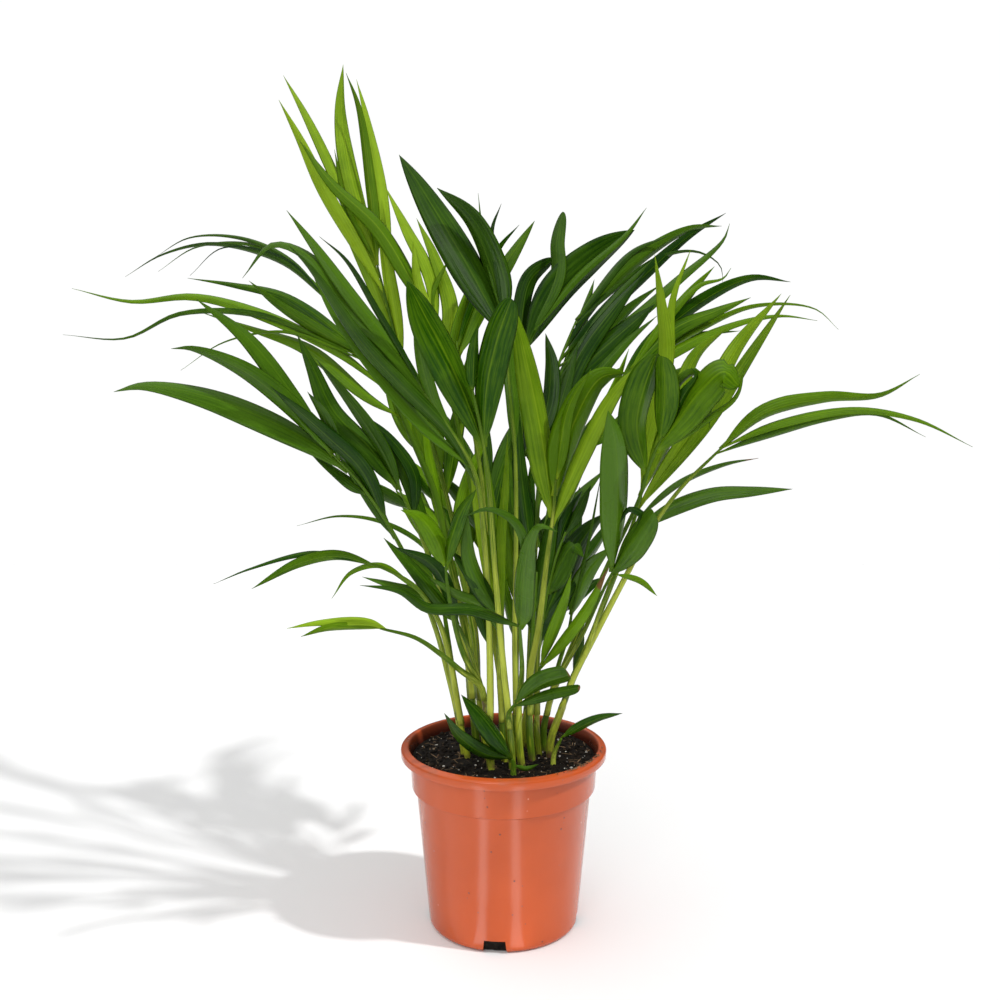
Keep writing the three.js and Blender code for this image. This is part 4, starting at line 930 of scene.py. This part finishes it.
def pot_outline():
    """Radius and height round the pot's wall, from the middle of its underside round to its inside."""
    def arc(cx, cz, r, start, end, count):
        return [(cx + r * math.cos(a), cz + r * math.sin(a)) for a in np.linspace(start, end, count)]

    rim_foot = POT_HEIGHT - RIM_BAND
    rim_inner = RIM_RADIUS - WALL
    under_rim = POT_HEIGHT - WALL
    quarter = math.pi / 2
    corner = BODY_FOOT_RADIUS - BASE_CORNER
    ring = corner - FOOT_RING_WIDTH
    plate = PLATE_LIFT + WALL
    outline = [(0, 0), (CENTRE_PAD_RADIUS - 0.6, 0), (CENTRE_PAD_RADIUS, 0.2)]
    outline += [(CENTRE_PAD_RADIUS + 3, PLATE_LIFT - 0.3), (CENTRE_PAD_RADIUS + 3.6, PLATE_LIFT)]
    outline += [(ring - 2.4, PLATE_LIFT), (ring - 2, PLATE_LIFT - 0.3), (ring, 0.3), (ring + 0.5, 0)]
    outline += arc(corner, BASE_CORNER, BASE_CORNER, -quarter, 0, 10)
    outline += [(BODY_TOP_RADIUS - 0.05, STEP_HEIGHT - 2.4), (BODY_TOP_RADIUS + 0.3, STEP_HEIGHT - 1.8)]
    outline += [(COLLAR_FOOT_RADIUS - 0.8, STEP_HEIGHT - 0.7), (COLLAR_FOOT_RADIUS - 0.2, STEP_HEIGHT - 0.3)]
    outline += [(COLLAR_FOOT_RADIUS, STEP_HEIGHT + 0.5), (COLLAR_TOP_RADIUS, rim_foot)]
    outline += [(FLANGE_INNER_RADIUS - 0.4, under_rim - 1.4), (rim_inner - 1.8, under_rim - 2.2)]
    outline += [(rim_inner, under_rim - 3.4), (rim_inner - 0.2, rim_foot + 0.4)]
    outline += [(RIM_RADIUS - WALL * 0.6 - 0.2, rim_foot), (RIM_RADIUS - 0.7, rim_foot)]
    outline += [(RIM_RADIUS - 0.3, rim_foot + 0.5)]
    outline += arc(RIM_RADIUS - 2.6, POT_HEIGHT - 3.4, 2.6, 0, quarter * 0.85, 8)
    outline += [(FLANGE_INNER_RADIUS + 1.4, POT_HEIGHT - 0.15), (FLANGE_INNER_RADIUS + 0.4, POT_HEIGHT)]
    outline += [(FLANGE_INNER_RADIUS - 0.5, POT_HEIGHT - 0.5)]
    outline += [(FLANGE_INNER_RADIUS - WALL, POT_HEIGHT - 2.2), (COLLAR_TOP_RADIUS - WALL, rim_foot)]
    outline += [(COLLAR_FOOT_RADIUS - WALL, STEP_HEIGHT + 1), (BODY_TOP_RADIUS - WALL, STEP_HEIGHT - 2)]
    outline += [(BODY_FOOT_RADIUS - WALL, plate + 3), (BODY_FOOT_RADIUS - WALL - 3, plate)]
    outline += [(CENTRE_PAD_RADIUS + 2, plate), (CENTRE_PAD_RADIUS - 1, WALL), (0, WALL)]
    return outline


def turned_mesh(name, outline, sides):
    """A closed mesh of an outline turned round the Z axis, with its first and last points on it."""
    places = [(0, 0, outline[0][1] * MM), (0, 0, outline[-1][1] * MM)]
    for radius, height in outline[1:-1]:
        for i in range(sides):
            angle = 2 * math.pi * i / sides
            places.append((radius * MM * math.cos(angle), radius * MM * math.sin(angle), height * MM))
    rings = len(outline) - 2
    faces = []
    for i in range(sides):
        j = (i + 1) % sides
        faces.append((0, 2 + j, 2 + i))
        last = 2 + (rings - 1) * sides
        faces.append((1, last + i, last + j))
        for r in range(rings - 1):
            a = 2 + r * sides
            faces.append((a + i, a + j, a + sides + j, a + sides + i))
    mesh = bpy.data.meshes.new(name)
    mesh.from_pydata(places, [], faces)
    return mesh


def pot_inside_shade(x, y, over, rarity):
    """How much painted shade the wall gets: only on its inside, and most of all just above the soil, patchy
    with noise.
    """
    edge = worked("MAXIMUM", over * 0.06, over * 0.25) + (COLLAR_TOP_RADIUS - WALL / 2) * MM
    inside = span(worked("SQRT", x * x + y * y) - edge, -0.0003, 0.0003, 1.0, 0.0)
    inside_shade_level = span(over, -0.002, 0.010, 0.95, 0.25) + rarity * 0.3
    return worked("MULTIPLY", inside, inside_shade_level, clamp=True) * span(over, -0.022, -0.020)


def pot_material():
    """Satin terracotta-coloured plastic: flow clouds, pale scuffs, crumbs of soil, painted shade on its
    inside and a painted shadow line under the step.
    """
    finish, tree, shader = new_material("pot_plastic", 0.22, 0.42)
    place = place_of(tree)
    flow = clouds(place, 14.0, 4.0)
    grain = clouds(place, 1800.0, 2.0)
    rarity = clouds(place, 45.0, 2.0)
    spot = speckles(place, 150.0, 0.08, 0.15) * span(rarity, 0.58, 0.62)
    fleck = speckles(place, 90.0, 0.04, 0.09) * span(rarity, 0.42, 0.38)
    x, y, z = parts_of(place)
    over = z - (POT_HEIGHT - RIM_BAND) * MM
    base = blend(span(flow, 0.3, 0.7), POT_DEEP, POT_PALE)
    base = blend(grain * 0.10, base, (0.30, 0.06, 0.03))
    base = blend(spot * 0.95, base, (0.060, 0.016, 0.006))
    base = blend(fleck * 0.6, base, (0.80, 0.42, 0.26))
    # Painted shade on the pot's inside wall, darkest just above the soil
    base = blend(pot_inside_shade(x, y, over, rarity), base, (0.085, 0.018, 0.010))
    # Painted shadow: a thin dark line just under the step, where shade falls
    base = blend(span(abs(z - STEP_SHADOW_HEIGHT * MM), 0.0003, 0.0010, 0.6, 0.0), base, (0.16, 0.022, 0.008))
    lip = span(over, 0.003, 0.007) * span(rarity, 0.5, 0.75, 0.0, 0.45)
    feed(shader.inputs["Base Color"], blend(lip, base, (0.26, 0.10, 0.055)))
    feed(shader.inputs["Roughness"], flow * 0.10 + 0.15 + spot * 0.3)
    bumped(shader, grain * 0.12 + spot, 0.0001)
    shader.inputs["Subsurface Weight"].default_value = 0.06
    shader.inputs["Subsurface Radius"].default_value = (0.004, 0.0012, 0.0006)
    return finish


def notch_cutter():
    """Boxes that cut the drain notches out of the pot's foot."""
    cutter = bmesh.new()
    for i in range(NOTCH_COUNT):
        turn = Matrix.Rotation(NOTCH_TURN + 2 * math.pi * i / NOTCH_COUNT, 4, "Z")
        centre = Vector((0, -(BODY_FOOT_RADIUS - NOTCH_DEPTH / 2 + 2), (NOTCH_HEIGHT - 1) / 2)) * MM
        size = Vector((NOTCH_WIDTH, NOTCH_DEPTH, NOTCH_HEIGHT + 1)) * MM
        place = turn @ Matrix.Translation(centre) @ Matrix.Diagonal((*size, 1))
        made = bmesh.ops.create_cube(cutter, size=1)
        for vertex in made["verts"]:
            if vertex.co.z > 0:
                vertex.co.x *= NOTCH_TOP_SHARE
        bmesh.ops.transform(cutter, matrix=place, verts=made["verts"])
    mesh = bpy.data.meshes.new("notches")
    cutter.to_mesh(mesh)
    cutter.free()
    return placed("notches", mesh)


def make_pot():
    pot = finished_piece("pot_shell", turned_mesh("pot_shell", pot_outline(), POT_SIDES), [pot_material()])
    tool = notch_cutter()
    cut = pot.modifiers.new("notches", "BOOLEAN")
    cut.operation = "DIFFERENCE"
    cut.object = tool
    graph = bpy.context.evaluated_depsgraph_get()
    shaped = bpy.data.meshes.new_from_object(pot.evaluated_get(graph))
    pot.modifiers.remove(cut)
    pot.data = shaped
    bpy.data.objects.remove(tool)
    shaped.shade_smooth()
    shaped.set_sharp_from_angle(angle=SHARP_EDGE)
    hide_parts("pot")


def make_notch_soil_and_shade(finish):
    """Dark soil lumps that fill the drain notches: partly soil, partly painted shade in place of the dark
    space behind them.
    """
    skin = Skin(())
    dice = random.Random(21)
    up = np.array([0, 0, 1.0])
    for i in range(NOTCH_COUNT):
        turn = NOTCH_TURN + 2 * math.pi * i / NOTCH_COUNT
        out = np.array([math.sin(turn), -math.cos(turn), 0])
        side = np.array([math.cos(turn), math.sin(turn), 0])
        middle = out * (BODY_FOOT_RADIUS - 7) + np.array([0, 0, NOTCH_HEIGHT / 2 + 0.3])
        rings = []
        for t in np.linspace(-1, 1, 11):
            girth = (1 - 0.3 * abs(t) ** 8) * dice.uniform(0.92, 1.0)
            centre = middle + side * (t * (NOTCH_WIDTH / 2 + 2))
            rings.append([centre + out * (NOTCH_SOIL_AND_SHADE_THICKNESS * girth * math.cos(a))
                          + up * (NOTCH_HEIGHT / 2 * girth * max(-0.97, min(1.15, 1.4 * math.sin(a))))
                          for a in angles_round(12)])
        skin.loft(rings)
    piece = skin.piece("notch_soil_and_shade", [finish])


# ---- Soil ----
LUMP_SIDES = 7
# Heading, from the pot's middle, of the litter on the rim
RIM_LITTER_ANGLE = -0.55
RIM_LITTER_SPREAD = 0.22


def soil_height(x, y):
    """The soil's top, in millimetres: a low mound with waves and small lumps."""
    r = math.hypot(x, y) / SOIL_RADIUS
    bumps = math.sin(x * 0.11 + 1) * math.cos(y * 0.13) + math.sin(x * 0.05 - y * 0.09)
    low = SOIL_TOP + SOIL_MOUND * (0.6 - r * r) + SOIL_BUMP * bumps * (1 - r * r)
    lumps = noise.fractal(Vector((x * 0.12, y * 0.12, 0)), 0.9, 2.1, 4)
    return low + 1.5 * lumps * min(1.0, (1 - r) * 12)


def soil_material(name, dark, pale):
    finish, tree, shader = new_material(name, 0.92, 0.25)
    place = place_of(tree)
    coarse = clouds(place, 190.0, 6.0, 0.7)
    fine = clouds(place, 1500.0, 3.0)
    share = span(coarse, 0.35, 0.75) * span(fine, 0.2, 0.8, 0.6, 1.0)
    feed(shader.inputs["Base Color"], blend(share, dark, pale))
    bumped(shader, coarse + fine * 0.3, 0.0016)
    return finish


def make_soil(finish):
    """The soil: sides inside the pot's wall, and a lumpy top."""
    foot = BODY_FOOT_RADIUS - WALL - GAP
    shoulder = BODY_TOP_RADIUS - WALL - GAP
    collar = COLLAR_FOOT_RADIUS - WALL - GAP
    floor = PLATE_LIFT + WALL + GAP
    outline = [(0, floor), (foot - 3.2, floor), (foot - 0.4, floor + 3.2),
               (shoulder - 0.1, STEP_HEIGHT - 2), (collar - 0.1, STEP_HEIGHT + 1.5)]
    outline += [(SOIL_RADIUS * (1 - i / SOIL_RINGS), SOIL_TOP) for i in range(SOIL_RINGS + 1)]
    mesh = turned_mesh("soil_bed", outline, SOIL_SIDES)
    for vertex in mesh.vertices:
        if vertex.co.z > (SOIL_TOP - 0.01) * MM:
            vertex.co.z = soil_height(vertex.co.x / MM, vertex.co.y / MM) * MM
    bed = finished_piece("soil_bed", mesh, [finish])
    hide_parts("soil")


def add_lump(skin, dice, centre, size, turn, tilt):
    """One closed lump: its length, width and height, its heading and how far its end is tipped up."""
    long, wide, high = size
    way = np.array([math.cos(turn) * math.cos(tilt), math.sin(turn) * math.cos(tilt), math.sin(tilt)])
    side = unit(np.cross([0, 0, 1.0], way))
    up = np.cross(way, side)
    rings = []
    for t in (-1, -0.6, 0.0, 0.6, 1):
        girth = max(0.12, math.sqrt(max(0, 1 - t * t)))
        middle = centre + way * (long / 2 * t) + up * dice.uniform(-0.1, 0.1) * high
        rings.append([middle + side * (wide / 2 * girth * math.cos(a) * dice.uniform(0.75, 1.2))
                      + up * (high / 2 * girth * math.sin(a) * dice.uniform(0.75, 1.2))
                      for a in angles_round(LUMP_SIDES)])
    skin.loft(rings)


def scatter(name, finish, count, sizes, shape, seed, sink=0.3):
    """Many small crumbs on the soil's top, as one mesh of closed lumps."""
    dice = random.Random(seed)
    skin = Skin(())
    for _ in range(count):
        angle = dice.uniform(0, 2 * math.pi)
        radius = (SOIL_RADIUS - 2) * math.sqrt(dice.random())
        x = radius * math.cos(angle)
        y = radius * math.sin(angle)
        size = dice.uniform(*sizes) * dice.uniform(0.6, 1.0)
        long, wide, high = (size * dice.uniform(*part) for part in shape)
        turn = dice.uniform(0, math.pi)
        tilt = dice.uniform(-0.35, 0.35)
        centre = np.array([x, y, soil_height(x, y) + high * (0.5 - sink)])
        add_lump(skin, dice, centre, (long, wide, high), turn, tilt)
    piece = skin.piece(name, [finish])


def strew_rim(name, finish, count, lengths, girths, seed):
    """Root fibres or crumbs left lying on the rim, at the right in front."""
    dice = random.Random(seed)
    skin = Skin(())
    for _ in range(count):
        angle = dice.gauss(RIM_LITTER_ANGLE, RIM_LITTER_SPREAD)
        radius = dice.uniform(FLANGE_INNER_RADIUS + 0.4, RIM_RADIUS - 3)
        size = (dice.uniform(*lengths), dice.uniform(*girths), dice.uniform(*girths))
        turn = angle + math.pi / 2 + dice.uniform(-0.7, 0.7)
        centre = np.array([radius * math.cos(angle), radius * math.sin(angle), POT_HEIGHT + size[2] * 0.4])
        add_lump(skin, dice, centre, size, turn, dice.uniform(-0.04, 0.04))
    piece = skin.piece(name, [finish])


def plain_grain(name, colour, roughness):
    finish, tree, shader = new_material(name, roughness, 0.3)
    cloud = clouds(place_of(tree), 420.0, 3.0)
    darker = tuple(c * 0.45 for c in colour)
    feed(shader.inputs["Base Color"], blend(span(cloud, 0.3, 0.75), darker, colour))
    bumped(shader, cloud, 0.0004)
    return finish


def make_soil_grains():
    scatter("soil_crumbs", soil_material("crumb", (0.004, 0.0028, 0.0018), (0.030, 0.020, 0.012)), 1100,
            (1.2, 4.6), ((0.8, 1.6), (0.7, 1.1), (0.5, 0.9)), 11)
    scatter("perlite_grains", plain_grain("perlite", (0.70, 0.67, 0.60), 0.85), 150,
            (0.7, 2.4), ((0.8, 1.3), (0.7, 1.1), (0.6, 0.9)), 12, 0.1)
    fibre = plain_grain("wood_fibre", (0.30, 0.19, 0.10), 0.8)
    scatter("wood_fibres", fibre, 320, (4.0, 12.0), ((0.8, 1.5), (0.05, 0.12), (0.03, 0.07)), 13, 0.0)
    strew_rim("rim_fibres", fibre, 34, (3.5, 9.0), (0.3, 0.55), 15)
    scatter("bark_chips", plain_grain("bark", (0.12, 0.06, 0.035), 0.8), 60,
            (3.0, 7.0), ((0.8, 1.4), (0.3, 0.5), (0.15, 0.3)), 14, 0.1)
    strew_rim("rim_crumbs", plain_grain("rim_crumb", (0.07, 0.035, 0.022), 0.9), 26,
              (0.7, 1.8), (0.5, 1.1), 16)


# ---- Stage ----
SKY_LOW = 0.15
SKY_HIGH = 1.55
FRONT_POWER = 16.0
FRONT_PLACE = (-0.5, -2.2, 1.3)
KEY_STRENGTH = 1.9
KEY_PLACE = (0.60, -0.235, 1.10)
STRIP_RADIANCE = 2.1
STRIP_PARTS = 6
LENS = 45.18
LOOKS_DOWN = math.radians(8.5)


def make_floor():
    mesh = bpy.data.meshes.new("floor")
    reach = 1.5
    corners = [(-reach, -reach, 0), (reach, -reach, 0), (reach, reach, 0), (-reach, reach, 0)]
    mesh.from_pydata(corners, [], [(0, 1, 2, 3)])
    finish, tree, shader = new_material("floor", 1.0, 0.0)
    shader.inputs["Base Color"].default_value = (0.86, 0.86, 0.86, 1)
    mesh.materials.append(finish)
    placed("floor", mesh)


def make_light(name, kind, energy, place, turn, **settings):
    data = bpy.data.lights.new(name, kind)
    data.energy = energy
    for key, value in settings.items():
        setattr(data, key, value)
    lamp = placed(name, data)
    lamp.location = place
    lamp.rotation_euler = turn
    return lamp


def turned_to(place, aim):
    return (Vector(aim) - Vector(place)).to_track_quat("-Z", "Y").to_euler()


def make_world():
    """Soft studio light, strongest from above and from the left, before a white wall."""
    world = bpy.data.worlds.new("studio")
    world.use_nodes = True
    tree = world.node_tree
    shown = tree.nodes["Background"]
    shown.inputs["Color"].default_value = (1, 1, 1, 1)
    shown.inputs["Strength"].default_value = 1.02
    lighting = tree.nodes.new("ShaderNodeBackground")
    across, deep, height = parts_of(place_of(tree, "Generated"))
    level = span(height, 0.12, 0.95, SKY_LOW, SKY_HIGH) * span(across, -0.7, 0.7, 1.3, 0.4)
    feed(lighting.inputs["Strength"], level)
    rays = tree.nodes.new("ShaderNodeLightPath")
    mixed = tree.nodes.new("ShaderNodeMixShader")
    tree.links.new(rays.outputs["Is Camera Ray"], mixed.inputs[0])
    tree.links.new(lighting.outputs[0], mixed.inputs[1])
    tree.links.new(shown.outputs[0], mixed.inputs[2])
    tree.links.new(mixed.outputs[0], tree.nodes["World Output"].inputs["Surface"])
    bpy.context.scene.world = world


def make_strip(name, start, end, near_width, far_width):
    """Low strip lights on the floor, wider farther out: the pot's wall mirrors them as an upright bar."""
    start = Vector((*start, 1)) * MM
    end = Vector((*end, 1)) * MM
    way = end - start
    length = way.length / STRIP_PARTS
    for part in range(STRIP_PARTS):
        share = (part + 0.5) / STRIP_PARTS
        width = (near_width + (far_width - near_width) * share) * MM
        make_light(name, "AREA", STRIP_RADIANCE * math.pi * width * length, start + way * share,
                   (math.pi, 0, math.atan2(way.x, -way.y)), shape="RECTANGLE", size=width, size_y=length)


def make_lights():
    make_world()
    key = make_light("key", "SUN", KEY_STRENGTH, KEY_PLACE, turned_to(KEY_PLACE, (0, 0, 0.35)),
                     angle=math.radians(3))
    key.visible_glossy = False
    make_strip("strip_left", (-24, -66), (-142, -285), 10, 60)
    make_strip("strip_right", (13, -67), (86, -302), 10, 60)
    make_light("front", "AREA", FRONT_POWER, FRONT_PLACE, turned_to(FRONT_PLACE, (0, 0, 0.4)),
               shape="RECTANGLE", size=1.2, size_y=1.2)


def make_camera():
    """The photograph's view: 999 mm in front, 507 mm up and tipped 8.5 degrees down."""
    data = bpy.data.cameras.new("camera")
    data.sensor_width = 36.0
    data.lens = LENS
    data.clip_start = 0.01
    camera = placed("camera", data)
    camera.location = EYE * MM
    camera.rotation_euler = (math.pi / 2 - LOOKS_DOWN, 0, 0)
    bpy.context.scene.camera = camera


make_camera()
make_lights()
make_floor()
make_pot()
soil_finish = soil_material("soil", (0.0035, 0.0024, 0.0016), (0.024, 0.016, 0.010))
make_soil(soil_finish)
# Dark lumps in the drain notches: partly soil, partly painted shade
make_notch_soil_and_shade(soil_finish)
make_soil_grains()
shoot_finish = shoot_material()
for shoot in SHOOTS:
    make_shoot(shoot, shoot_finish)
for frond in FRONDS:
    make_frond(frond)

bpy.context.scene.view_settings.view_transform = "Standard"
